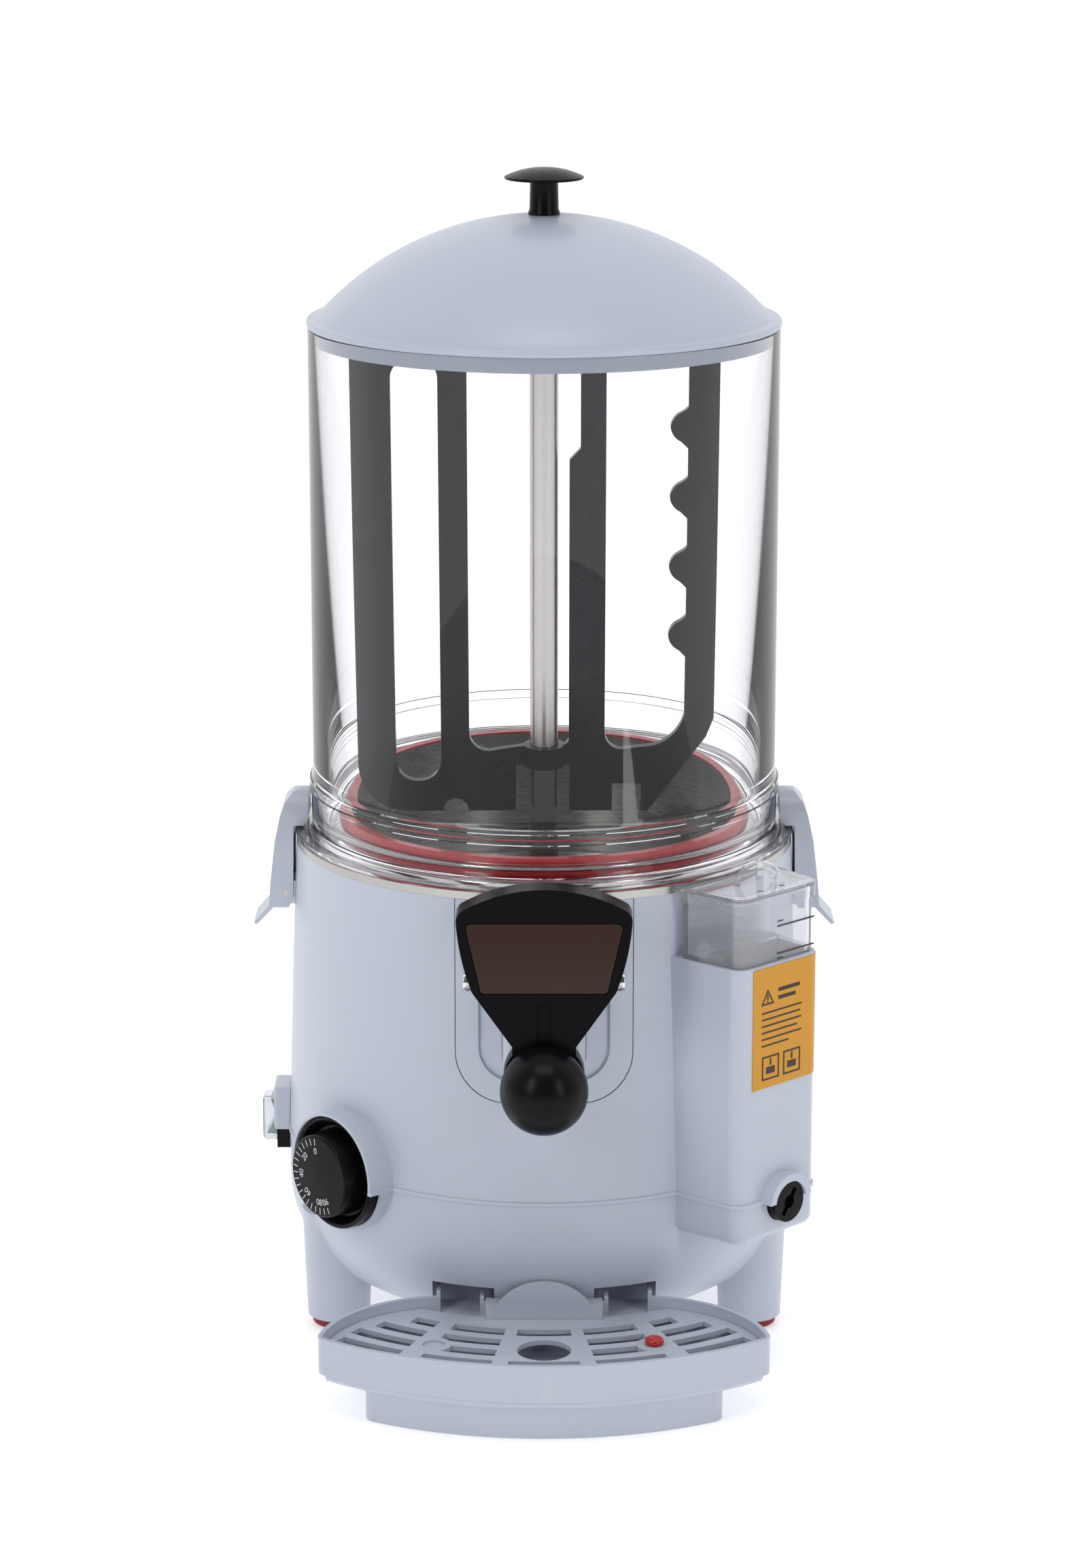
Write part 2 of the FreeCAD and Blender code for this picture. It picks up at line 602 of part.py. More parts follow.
def drive():
    floor = s.corner_height - s.corner_radius + s.casing_wall + s.plate_thick
    top = floor + s.gearbox_height
    half = s.gearbox_width / 2
    case = brick("gearbox_case", (-half, half), (-s.gearbox_front, s.gearbox_back), (floor, top))
    case = rounded("gearbox_corners", case, size(6), upright)
    node(without("gearbox", case, rod("gearbox_bore", s.shaft_radius + s.shaft_gap,
                                      s.shaft_low - 1, top + 1)), "gearbox")
    can = turned("motor_can", [
        (0, top), (s.motor_radius, top), (s.motor_radius, top + s.motor_height - 3),
        (s.motor_radius - 3, top + s.motor_height, 3), (0, top + s.motor_height)])
    node(place(can, 0, s.motor_offset, 0), "motor")
    node(ring("shaft_coupling", s.shaft_radius + s.seat_gap / 2, s.coupling_radius,
              s.coupling_low, s.coupling_low + s.coupling_height), "shaft_coupling")
    node(turned("drive_shaft", [
        (0, s.shaft_low), (s.shaft_radius, s.shaft_low), (s.shaft_radius, s.shaft_top),
        (0, s.shaft_top)]), "drive_shaft")
    node(ring("centre_tube", s.tube_radius - s.tube_wall, s.tube_radius, s.tube_low,
              s.tube_top), "centre_tube")
    inner = s.tube_radius - s.tube_wall - s.seat_gap
    bushings = [ring(f"bushing_{n}", s.shaft_radius + s.shaft_gap, inner, low, low + 11)
                for n, low in enumerate((s.tube_low + 0.5, s.tube_top - 11.5))]
    node(together("tube_bushings", *bushings), "tube_bushings")
    nut_top = s.tank_floor - s.seal_height
    prism = doc.addObject("Part::Prism", "nut_blank")
    prism.Polygon = 6
    bind(prism, "Circumradius", s.nut_radius)
    bind(prism, "Height", size(8))
    place(prism, 0, 0, nut_top - 8)
    node(without("tube_nut", prism, rod("nut_bore", s.tube_radius + s.seat_gap, nut_top - 9,
                                        nut_top + 1)), "tube_nut")
    node(ring("tube_seal", s.tube_radius + s.seat_gap, s.nut_radius - 1, nut_top,
              s.tank_floor), "tube_seal")


# ---- heating ----

def heating():
    low, corner, wall = s.tank_floor, s.tank_corner, s.tank_wall
    plate_top = s.casing_top + s.rim_seat + s.rim_plate
    plate_low = s.casing_top + s.rim_seat
    hole = s.tube_radius + s.seat_gap
    tank = turned("tank_pressing", [
        (hole, low), (s.tank_radius - corner, low), (s.tank_radius, low + corner, corner),
        (s.tank_radius, plate_low), (s.rim_radius - 1, plate_low),
        (s.rim_radius - 1, s.casing_top), (s.rim_radius, s.casing_top),
        (s.rim_radius, plate_top), (s.rim_mouth, plate_top), (s.rim_mouth, plate_low),
        (s.tank_radius - wall, plate_low), (s.tank_radius - wall, low + corner),
        (s.tank_radius - corner, low + wall, -(corner - wall)), (hole, low + wall)])
    pins = [(-s.element_pins / 2, s.element_ring), (s.element_pins / 2, s.element_ring)]
    tank = without(
        "boiler_tank", tank,
        *[rod(f"pin_hole_{n}", s.element_radius + s.seat_gap, low - 5, low + 5, x, y)
          for n, (x, y) in enumerate(pins)],
        spoke("tank_outlet", s.outlet_radius + s.seat_gap, 105, 122, -90, s.outlet_height),
        spoke("tank_pipe", s.pipe_radius + s.seat_gap, 105, 122, s.box_azimuth, s.pipe_height))
    node(tank, "boiler_tank")
    loop = doc.addObject("Part::Torus", "element_loop")
    bind(loop, "Radius1", s.element_ring)
    bind(loop, "Radius2", s.element_radius)
    place(loop, 0, 0, s.element_height)
    node(together("heating_element", loop, *[
        rod(f"element_pin_{n}", s.element_radius, low - 12, s.element_height, x, y)
        for n, (x, y) in enumerate(pins)]), "heating_element")
    bottom, bend, skin = s.dish_floor, s.dish_corner, s.dish_wall
    under = plate_top + s.seat_gap
    over = under + s.dish_flange
    neck = plate_top + s.dish_neck
    dish = turned("dish_pressing", [
        (hole, bottom), (s.dish_radius - bend, bottom), (s.dish_radius, bottom + bend, bend),
        (s.dish_radius, under), (s.dish_flange_radius, under), (s.dish_flange_radius, over),
        (s.dish_radius, over), (s.dish_radius, neck), (s.dish_radius - skin, neck),
        (s.dish_radius - skin, bottom + bend), (s.dish_radius - bend, bottom + skin,
                                                -(bend - skin)), (hole, bottom + skin)])
    node(without("heating_dish", dish, spoke("dish_outlet", s.outlet_radius + s.seat_gap, 88,
                                             105, -90, s.outlet_height)), "heating_dish")
    node(without("outlet_tube", spoke("outlet_bar", s.outlet_radius, s.dish_radius - 2,
                                      s.tap_back, -90, s.outlet_height),
                 spoke("outlet_bore", s.outlet_radius - s.outlet_wall, 90, 130, -90,
                       s.outlet_height)), "outlet_tube")
    inner = s.dish_radius + s.seat_gap
    node(turned("bowl_gasket", [
        (inner, over + 0.1), (inner + 3.6, over + 0.1), (inner + 3.6, over + 2.3),
        (inner + 1.8, over + 2.6), (inner + 1.8, s.bowl_floor + 0.1),
        (inner + 4, s.bowl_floor + 0.4), (inner + 4, neck - 0.6), (inner + 2, neck + 1.2),
        (inner - 2.4, neck + 1.2), (inner - 2.4, neck + 0.1), (inner, neck + 0.1)]),
        "bowl_gasket")


# ---- bowl, lid and stirrer ----

def bowl():
    low = s.casing_top + s.rim_seat + s.rim_plate + s.seat_gap
    flange_top = low + s.bowl_flange
    foot, ridge = s.bowl_foot_radius, s.bowl_foot_radius + s.bowl_rib
    inner = s.bowl_radius - s.bowl_wall
    lip = s.dish_radius + s.seat_gap + 2
    node(turned("bowl", [
        (s.bowl_flange_radius - 0.8, low), (s.bowl_flange_radius, low + 0.8),
        (s.bowl_flange_radius, flange_top - 0.8),
        (s.bowl_flange_radius - 0.8, flange_top, 0.8), (foot + 3, flange_top),
        (foot, flange_top + 3, -3), (foot, s.bowl_rib_low), (ridge, s.bowl_rib_low + 0.6),
        (ridge, s.bowl_rib_high - 0.6), (foot - 0.4, s.bowl_rib_high),
        (s.bowl_radius, s.bowl_rib_high + 3), (s.bowl_radius, s.bowl_top), (inner, s.bowl_top),
        (inner, s.bowl_floor + 7), (inner - 7, s.bowl_floor, -7), (lip, s.bowl_floor),
        (lip, s.bowl_floor - s.bowl_floor_wall),
        (s.dish_flange_radius - 2, s.bowl_floor - s.bowl_floor_wall),
        (s.dish_flange_radius + 0.6, s.bowl_floor - s.bowl_floor_wall - 1.5),
        (s.dish_flange_radius + 0.6, low)]), "bowl")


def lid():
    inner_radius = s.dome_radius - s.lid_wall
    hole = s.knob_screw + 0.2
    edge_z = s.dome_centre + root(s.dome_radius * s.dome_radius - s.dome_edge * s.dome_edge)
    skirt_in = s.lid_skirt_radius - s.lid_wall
    inner_edge = skirt_in - 2
    node(turned("lid", [
        (hole, s.dome_centre + root(inner_radius * inner_radius - hole * hole)),
        (inner_edge, s.dome_centre + root(inner_radius * inner_radius
                                          - inner_edge * inner_edge), -inner_radius),
        (skirt_in, s.lid_under - 0.4), (skirt_in, s.lid_skirt_end),
        (s.lid_skirt_radius, s.lid_skirt_end), (s.lid_skirt_radius, s.lid_under),
        (s.lid_radius - 0.5, s.lid_under), (s.lid_radius, s.lid_under + 0.5, 0.5),
        (s.lid_radius, s.lid_under + 1.6), (s.lid_radius - 1.6, s.lid_under + 3.2, 1.6),
        (s.dome_edge, edge_z),
        (hole, s.dome_centre + root(s.dome_radius * s.dome_radius - hole * hole),
         s.dome_radius)]), "lid")
    apex = s.dome_centre + s.dome_radius
    rise = s.knob_top - s.knob_edge
    crown = (s.knob_radius * s.knob_radius + rise * rise) / (rise * 2)
    bore = s.knob_screw + s.shaft_gap
    node(turned("lid_knob", [
        (bore, apex), (s.knob_stem + 0.8, apex), (s.knob_stem, apex + 2.5),
        (s.knob_stem - 0.3, s.knob_edge - 3), (s.knob_stem + 1.5, s.knob_edge - 1.4, -1.8),
        (s.knob_radius - 1, s.knob_edge - 1.2), (s.knob_radius, s.knob_edge, 1.2),
        (0, s.knob_top, crown), (0, apex + s.knob_screw_reach + 1),
        (bore, apex + s.knob_screw_reach + 1)]), "lid_knob")
    under = apex - s.lid_wall - s.seat_gap
    node(turned("lid_knob_screw", [
        (0, under - 2.6), (s.knob_screw_head - 1.4, under - 2.6),
        (s.knob_screw_head, under - 1, 1.8), (s.knob_screw_head, under),
        (s.knob_screw, under), (s.knob_screw, apex + s.knob_screw_reach),
        (0, apex + s.knob_screw_reach)]), "lid_knob_screw")


def stirrer():
    half = s.paddle_thick / 2
    reach, right = s.paddle_reach, s.bar_right_out
    top, low, rail = s.paddle_top, s.paddle_low, s.paddle_rail
    frame = slab("paddle_blank", "XZ", [
        (-reach, top - 8), (-reach, low + 26), (-reach + 26, low, 26), (right - 34, low),
        (right - 30, low + 5), (right - 4, rail + 8), (right, rail + 18), (right, top - 8),
        (right - 8, top, 8), (-reach + 8, top), ], -half, half)
    bridge, outer = s.bridge_low, s.bar_outer_inner
    loop_low = low + 16
    loop = slab("loop_gap", "XZ", [
        (-outer, bridge - 12), (-outer, loop_low + 11),
        (-outer + 11, loop_low, 11), (-s.bar_left_out - 11, loop_low),
        (-s.bar_left_out, loop_low + 11, 11), (-s.bar_left_out, bridge - 11),
        (-s.bar_left_out - 11, bridge, 11), (-outer + 11, bridge),
        (-outer, bridge - 11, 11)], -9, 9)
    middle = slab("middle_gap", "XZ", [
        (-s.bar_left_in, bridge), (-s.bar_left_in, rail + 10), (-s.bar_left_in + 10, rail, 10),
        (-9, rail + 3), (s.bar_mid_in - 4, rail + 3), (s.bar_mid_in, rail + 7, 4),
        (s.bar_mid_in, s.bar_step_height - 3), (s.bar_mid_top, s.bar_step_height + 3),
        (s.bar_mid_top, bridge)], -9, 9)
    gap = slab("right_gap", "XZ", [
        (s.bar_mid_out, bridge), (s.bar_mid_out, rail + 10), (s.bar_mid_out + 8, rail + 1, 9),
        (s.bar_right_in - 16, rail + 3), (s.bar_right_in, rail + 20, 22),
        (s.bar_right_in, bridge)], -9, 9)
    bumps = []
    for n in range(4):
        z = s.bump_first + n * s.bump_pitch
        wide, deep = s.bump_width / 2, s.bump_depth
        bumps.append(slab(f"bump_{n}", "XZ", [
            (s.bar_right_in + 1, z - wide), (s.bar_right_in + 1, z + wide),
            (s.bar_right_in - deep * 0.4, z + wide * 0.62, -10),
            (s.bar_right_in - deep, z, 9), (s.bar_right_in - deep * 0.4, z - wide * 0.62, 9),
            (s.bar_right_in + 1, z - wide, -10)][:-1], -half, half))
    notches = [
        brick("tube_notch", (-14.5, 13), (-9, 9), (low - 1, low + 24.4)),
        brick("right_notch", (35, 50), (-9, 9), (low - 1, low + 14.5)),
        along_y("arch_notch", 6.5, -45.5, low, -9, 9)]
    hub = rod("hub_top", s.hub_radius, s.bridge_low + 0.5, top + 3)
    collar = rod("hub_low", s.hub_radius, rail - s.hub_height + 3, rail + 3)
    body = together("paddle_plate", without("paddle_cut", frame, loop, middle, gap, *notches),
                    hub, collar, *bumps)
    item = without("stirrer", body,
                   rod("hub_shaft_bore", s.shaft_radius + s.seat_gap / 2, bridge - 2,
                       s.shaft_top + 0.2),
                   rod("hub_tube_bore", s.tube_radius + s.free_gap, low, rail + 10),
                   rod("hub_tube_end", s.tube_radius + s.free_gap, bridge - 4, bridge + 0.6))
    node(item, "stirrer")


# ---- tap ----

def tap_fixed():
    half, back, front = s.tap_half, s.tap_back, s.tap_front
    column = brick("tap_column", (-half, half), (-front, -back), (s.tap_low, s.tap_top))
    column = rounded("tap_corners", column, s.tap_corner,
                     lambda e: upright(e) and e.CenterOfMass.y < -SIZES["tap_front"] + 1)
    axis = -s.tap_axis
    screw_holes = [crossbar(f"thumb_hole_{n}", s.pivot_radius + 0.02, low, high,
                            -s.pivot_back, s.pivot_height)
                   for n, (low, high) in enumerate(((-30, -s.thumb_root + 0.2),
                                                    (s.thumb_root - 0.2, 30)))]
    node(without("tap_body", column, rod("tap_chamber", s.tap_bore, s.seat_height,
                                         s.tap_top + 5, 0, axis),
                 rod("spout_hole", s.spout_bore, s.tap_low - 5, s.seat_height + 1, 0, axis),
                 spoke("tap_inlet", s.outlet_radius - s.outlet_wall, back - 3, s.tap_axis, -90,
                       s.outlet_height), *screw_holes), "tap_body")
    cap = together("cap_form", brick("cap_plate", (-16, 16), (-front + 1, -back - 6),
                                     (s.tap_top, s.tap_top + s.cap_thick)),
                   rod("cap_spigot", s.tap_bore - s.seat_gap, s.tap_top - s.cap_thick,
                       s.tap_top + 1, 0, axis))
    node(without("tap_cap", cap, rod("cap_bore", s.stem_radius + s.shaft_gap, 200, 240, 0,
                                     axis)), "tap_cap")
    screws = []
    for side in (-1, 1):
        screws.append(crossbar(f"thumb_head_{side}", s.thumb_radius,
                               side * (s.thumb_low + s.thumb_high) / 2
                               - (s.thumb_high - s.thumb_low) / 2,
                               side * (s.thumb_low + s.thumb_high) / 2
                               + (s.thumb_high - s.thumb_low) / 2,
                               -s.pivot_back, s.pivot_height))
        screws.append(crossbar(f"thumb_shank_{side}", s.pivot_radius,
                               side * (s.thumb_root + s.thumb_low + 1) / 2
                               - (s.thumb_low + 1 - s.thumb_root) / 2,
                               side * (s.thumb_root + s.thumb_low + 1) / 2
                               + (s.thumb_low + 1 - s.thumb_root) / 2,
                               -s.pivot_back, s.pivot_height))
    node(together("tap_thumb_screws", *screws), "tap_thumb_screws")


def tap_moving():
    axis = -s.tap_axis
    seat = s.seat_height + s.seat_gap
    fork_top = s.pivot_height + 15
    collar = fork_top + 0.7
    node(together(
        "tap_plunger", rod("plunger_disc", s.tap_bore - 1.5, seat + 4, seat + 7, 0, axis),
        rod("plunger_stem", s.stem_radius, seat + 6, collar + s.collar_height, 0, axis),
        rod("plunger_collar", s.collar_radius, collar, collar + s.collar_height, 0, axis)),
        "tap_plunger")
    node(rod("plunger_seal", s.tap_bore - 1.2, seat, seat + 4, 0, axis), "plunger_seal")
    spring = ring("tap_spring", s.spring_radius - s.spring_wire, s.spring_radius, seat + 7.2,
                  s.tap_top - s.cap_thick - 0.2)
    node(place(spring, 0, axis, 0), "tap_spring")


def lean(z):
    """Reach of the shield's front face at a height: it leans out towards the ball."""
    return s.shield_face + s.face_lean * (s.shield_top - z) / (s.shield_top - s.neck_height)


def band(name, near, far, low, high):
    """A slab that follows the leaning face, from near to far behind it."""
    return slab(name, "YZ", [
        (-lean(high) + near, high), (-lean(low) + near, low), (-lean(low) + far, low),
        (-lean(high) + far, high)], -70, 70)


def shield_outline(inset):
    half = s.shield_half - inset
    side = half - 2.2
    top = s.shield_top - inset
    rise = top - (s.shield_shoulder - inset)
    crown = (side * side + rise * rise) / (rise * 2)
    waist, neck = s.shield_waist_half - inset, s.neck_half - inset
    return [(-side, s.shield_shoulder - inset), (-half, s.shield_side - inset, 6.5),
            (-waist, s.shield_waist, 110), (-neck, s.neck_height), (-neck, 168), (neck, 168),
            (neck, s.neck_height), (waist, s.shield_waist), (half, s.shield_side - inset, 110),
            (side, s.shield_shoulder - inset, 6.5), (-side, s.shield_shoulder - inset, crown)]


def plate_outline(grow):
    top, low = s.plate_top + grow, s.plate_low - grow
    wide, narrow = s.plate_top_half + grow, s.plate_low_half + grow
    return [(-wide + 3, top), (-wide, top - 3, 3), (-narrow - 0.8, low + 2),
            (-narrow + 1.4, low, 2.2), (narrow - 1.4, low), (narrow + 0.8, low + 2, 2.2),
            (wide, top - 3), (wide - 3, top, 3)]


def tap_lever():
    base = s.neck_height - 18
    outer = slab("shield_side_form", "YZ", [
        (-lean(s.shield_top + 3), s.shield_top + 3), (-lean(base), base),
        (-s.tap_front - 1, base), (-s.tap_front - 1, s.neck_height + 14),
        (-s.shield_face + s.shield_depth, s.shield_top - 24),
        (-s.shield_face + s.shield_depth, s.shield_top + 3)], -70, 70)
    closed = shield_outline(size(0))[:-1]
    closed[0] = closed[0] + (shield_outline(size(0))[-1][2],)
    shell = shared("shield_form", slab("shield_face_form", "XZ", closed, -190, -120), outer)
    inner = shield_outline(s.shield_wall)[:-1]
    inner[0] = inner[0] + (shield_outline(s.shield_wall)[-1][2],)
    hollow = shared("shield_hollow", slab("shield_hollow_face", "XZ", inner, -190, -120),
                    slab("shield_hollow_side", "YZ", [
                        (-lean(s.shield_top + 5) + s.shield_wall, s.shield_top + 5),
                        (-lean(s.neck_height + 5) + s.shield_wall, s.neck_height + 5),
                        (-100, s.neck_height + 5), (-100, s.shield_top + 5)], -60, 60))
    recess = shared("plate_recess", slab("plate_recess_face", "XZ", plate_outline(size(0.3)),
                                         -190, -120),
                    band("plate_recess_band", -5, s.name_plate + 0.4, 190, 260))
    groove = shared("groove", slab("groove_face", "XZ", [
        (-s.groove_half, s.plate_low - 4), (-s.groove_half, 160), (s.groove_half, 160),
        (s.groove_half, s.plate_low - 4)], -190, -120),
        band("groove_band", -5, s.groove_depth, 150, 260))
    skin = without("shield_skin", shell, hollow, recess, groove)
    boss = spoke("lever_boss", s.boss_radius, s.tap_front + 0.8, lean(base) - 4, -90, 167.5)
    ears, fork = [], []
    arm_top, arm_low = s.pivot_height + 6.5, s.pivot_height - 6.5
    for side in (-1, 1):
        middle, half = side * (s.ear_low + s.ear_high) / 2, (s.ear_high - s.ear_low) / 2
        ears.append(brick(f"ear_{side}", (middle - half, middle + half),
                          (-lean(s.pivot_height) + 2.4, -s.pivot_back), (arm_low, arm_top)))
        ears.append(crossbar(f"ear_eye_{side}", 6.5, middle - half, middle + half,
                             -s.pivot_back, s.pivot_height))
        fork.append(brick(f"fork_{side}", (side * 5.4 - 1.7, side * 5.4 + 1.7),
                          (-lean(s.pivot_height + 14) + 2.4, -s.tap_axis + 5),
                          (s.pivot_height + 12.5, s.pivot_height + 15)))
    form = together("lever_form", skin, boss, *ears, *fork)
    eye_bore = crossbar("eye_bore", s.pivot_radius + s.shaft_gap, -30, 30, -s.pivot_back,
                        s.pivot_height)
    socket = ball("ball_socket", s.ball_radius, 0, -s.ball_reach, s.ball_height)
    node(without("tap_lever", form, eye_bore, socket), "tap_lever")
    node(ball("tap_ball", s.ball_radius, 0, -s.ball_reach, s.ball_height), "tap_ball")
    node(shared("tap_name_plate", slab("name_plate_face", "XZ", plate_outline(size(0)), -190,
                                       -120), band("name_plate_band", 0.4, s.name_plate + 0.4,
                                                   190, 260)), "tap_name_plate")


def front_panel():
    """The moulded insert behind the tap, flush with the casing, with a U-shaped recess."""
    wall = without("panel_wall", casing_solid("panel_outer", size(0)),
                   casing_solid("panel_hollow", s.casing_wall))
    piece = shared("panel_piece", wall, slab("panel_face", "XZ", panel_outline(
        s.panel_half, s.panel_low, s.casing_top + 5, s.panel_corner), -150, -80))
    dip = shared("panel_dip", slab("panel_dip_face", "XZ", panel_outline(
        s.panel_inner_half, s.panel_inner_low, s.casing_top + 5, s.panel_corner - 8), -150, -80),
        without("panel_dip_wall", casing_solid("dip_outer", size(-3)),
                casing_solid("dip_inner", s.panel_recess)))
    hole = brick("tap_opening", (-s.tap_half - 0.3, s.tap_half + 0.3), (-140, -100),
                 (s.tap_low - 1, s.tap_top + 1))
    node(without("front_panel", piece, dip, hole), "front_panel")


# ---- water level ----

def sight_outline(name, inset, low, high, back):
    block = box_form(name, inset, low, high, back)
    return rounded(name + "_round", block, size(6), outer_corner)


def water_level():
    gap = s.box_wall + s.seat_gap * 2
    back = s.box_back + s.seat_gap * 2
    top, wall, rear = s.sight_top, s.sight_wall, s.sight_back
    cup = together("sight_form",
                   sight_outline("sight_cup", gap, s.sight_low, s.box_top + 1, back),
                   sight_outline("sight_collar", s.sight_inset, s.box_top + s.seat_gap, top,
                                 rear),
                   sight_outline("sight_rim_form", s.sight_inset - s.sight_rim,
                                 top - s.sight_rim_height, top, rear))
    inside = together("sight_inside",
                      sight_outline("sight_inside_low", gap + wall, s.sight_low + wall,
                                    s.box_top + 4, back + wall),
                      sight_outline("sight_inside_high", s.sight_inset + wall,
                                    s.box_top + s.seat_gap + wall, top + 5, rear + wall))
    pipe_hole = place(rod("sight_pipe_hole", s.pipe_radius + s.seat_gap, 0, 20),
                      back - 5, 0, s.pipe_height, 0, 90)
    node(without("sight_tank", cup, inside, pipe_hole), "sight_tank", s.box_azimuth)
    plate = sight_outline("filler_plate", s.sight_inset - s.sight_rim, top + 0.1, top + 0.1
                          + s.sight_lid, rear)
    lip_gap, lip_rear = s.sight_inset + wall + s.free_gap, rear + wall + s.free_gap
    lip = without("filler_lip", sight_outline("filler_lip_form", lip_gap, top - s.sight_lip,
                                              top + 1, lip_rear),
                  sight_outline("filler_lip_in", lip_gap + 1.5, top - s.sight_lip - 1,
                                top + 0.1, lip_rear + 1.5))
    middle = (s.box_face + back) / 2
    loops = []
    for n, turn in enumerate((45, 135)):
        band_ring = doc.addObject("Part::Cylinder", f"loop_outer_{n}")
        bind(band_ring, "Radius", s.handle_radius)
        bind(band_ring, "Height", s.handle_width)
        half = s.handle_width / 2
        place(band_ring, middle - half * cosine(turn), -half * sine(turn), top + s.sight_lid,
              turn, 90)
        loops.append(band_ring)
    cores = []
    for n, turn in enumerate((45, 135)):
        core = doc.addObject("Part::Cylinder", f"loop_core_{n}")
        bind(core, "Radius", s.handle_radius - s.handle_band)
        bind(core, "Height", size(40))
        place(core, middle - 20 * cosine(turn), -20 * sine(turn), top + s.sight_lid, turn, 90)
        cores.append(core)
    arches = [without(f"loop_arch_{n}", loops[n], cores[n]) for n in (0, 1)]
    above = brick("loop_zone", (100, 190), (-40, 40), (top + s.sight_lid - 0.5, top + 30))
    handle = shared("filler_handle", together("loop_pair", *arches), above)
    node(together("filler_lid", plate, lip, handle), "filler_lid", s.box_azimuth)
    pipe = without("level_pipe", spoke("pipe_bar", s.pipe_radius, s.tank_radius - 2,
                                       back + s.sight_wall + 1, 0, s.pipe_height),
                   spoke("pipe_bore", s.pipe_radius - 1, 100, 145, 0, s.pipe_height))
    node(pipe, "level_pipe", s.box_azimuth)
    water_label(s.box_face)


def water_label(face):
    outer = box_form("label_outer", -s.label_thick, s.label_low, s.label_high, s.box_back + 12)
    outer = rounded("label_outer_round", outer, s.box_corner + s.label_thick, outer_corner)
    inner = box_form("label_inner", size(-0.02), s.label_low - 1, s.label_high + 1, s.box_back)
    inner = rounded("label_inner_round", inner, s.box_corner, outer_corner)
    zone = brick("label_zone", (face - 12, face + 5), (-s.label_left, s.label_right),
                 (s.label_low - 5, s.label_high + 5))
    node(shared("water_label", without("label_sheet", outer, inner), zone), "water_label",
         s.box_azimuth)


def drain():
    azimuth, height, aside = s.box_azimuth, s.plug_height, s.plug_aside
    face = s.box_face
    tube_end = face - s.box_wall
    tube = without("drain_tube", spoke("drain_bar", s.plug_radius, s.box_back + 3, face - 1,
                                       azimuth, height, aside),
                   spoke("drain_bore", s.plug_stem + s.free_gap, s.box_back + 6, face + 5,
                         azimuth, height, aside))
    node(tube, "drain_tube")
    head = spoke("plug_head", s.plug_radius, face - 0.6, face + s.plug_proud, azimuth, height,
                 aside)
    stem = spoke("plug_shank", s.plug_stem, face - s.plug_stem_length, face, azimuth, height,
                 aside)
    slot_round = spoke("plug_socket", 3.4, face + s.plug_proud - 3, face + s.plug_proud + 3,
                       azimuth, height, aside)
    wide, tall = s.blade_width / 2, s.slot_length / 2
    reach, turn = face + s.plug_proud - 2.5, s.slot_turn
    along = aside - wide * cosine(turn) + tall * sine(turn)
    blade = brick("plug_blade", (size(0), size(6)), (-wide, wide), (-tall, tall))
    blade = place(blade, reach * cosine(azimuth) - along * sine(azimuth),
                  reach * sine(azimuth) + along * cosine(azimuth),
                  height - wide * sine(turn) - tall * cosine(turn), azimuth, 0, turn)
    node(without("drain_plug", together("plug_form", head, stem), slot_round, blade),
         "drain_plug")


# ---- controls ----

def dial():
    azimuth, height = s.dial_azimuth, s.dial_height
    rim = s.bezel_radius
    ring_form = spoke("bezel_disc", rim, s.bezel_back, s.bezel_face, azimuth, height)
    dish = spoke("bezel_dish", s.dial_radius + 2.5, s.bezel_floor, s.bezel_face + 5, azimuth,
                 height, end_radius=rim + 1)
    hole = spoke("bezel_spindle_hole", s.spindle_radius + s.shaft_gap, 110, 150, azimuth, height)
    node(without("dial_bezel", ring_form, dish, hole), "dial_bezel")
    body = brick("thermostat_case", (94, s.bezel_back - 0.1), (-17, 17), (-17, 17))
    body = place(body, 94 * cosine(azimuth) + 17 * sine(azimuth),
                 94 * sine(azimuth) - 17 * cosine(azimuth), height - 17, azimuth)
    node(without("thermostat", body, spoke("thermostat_bore", s.spindle_radius + s.shaft_gap,
                                           108, 150, azimuth, height)), "thermostat")
    knob = spoke("knob_skirt", s.dial_radius + 1, s.bezel_floor + s.free_gap, s.dial_face,
                 azimuth, height, end_radius=s.dial_radius)
    spindle = spoke("knob_spindle", s.spindle_radius, 110, s.bezel_floor + 3, azimuth, height)
    doc.recompute()
    knob = rounded("knob_edge", knob, size(1.2),
                   lambda e: e.Length > 100 and abs(
                       math.hypot(e.CenterOfMass.x, e.CenterOfMass.y)
                       - SIZES["dial_face"]) < 0.5)
    node(together("dial_knob", knob, spindle), "dial_knob")


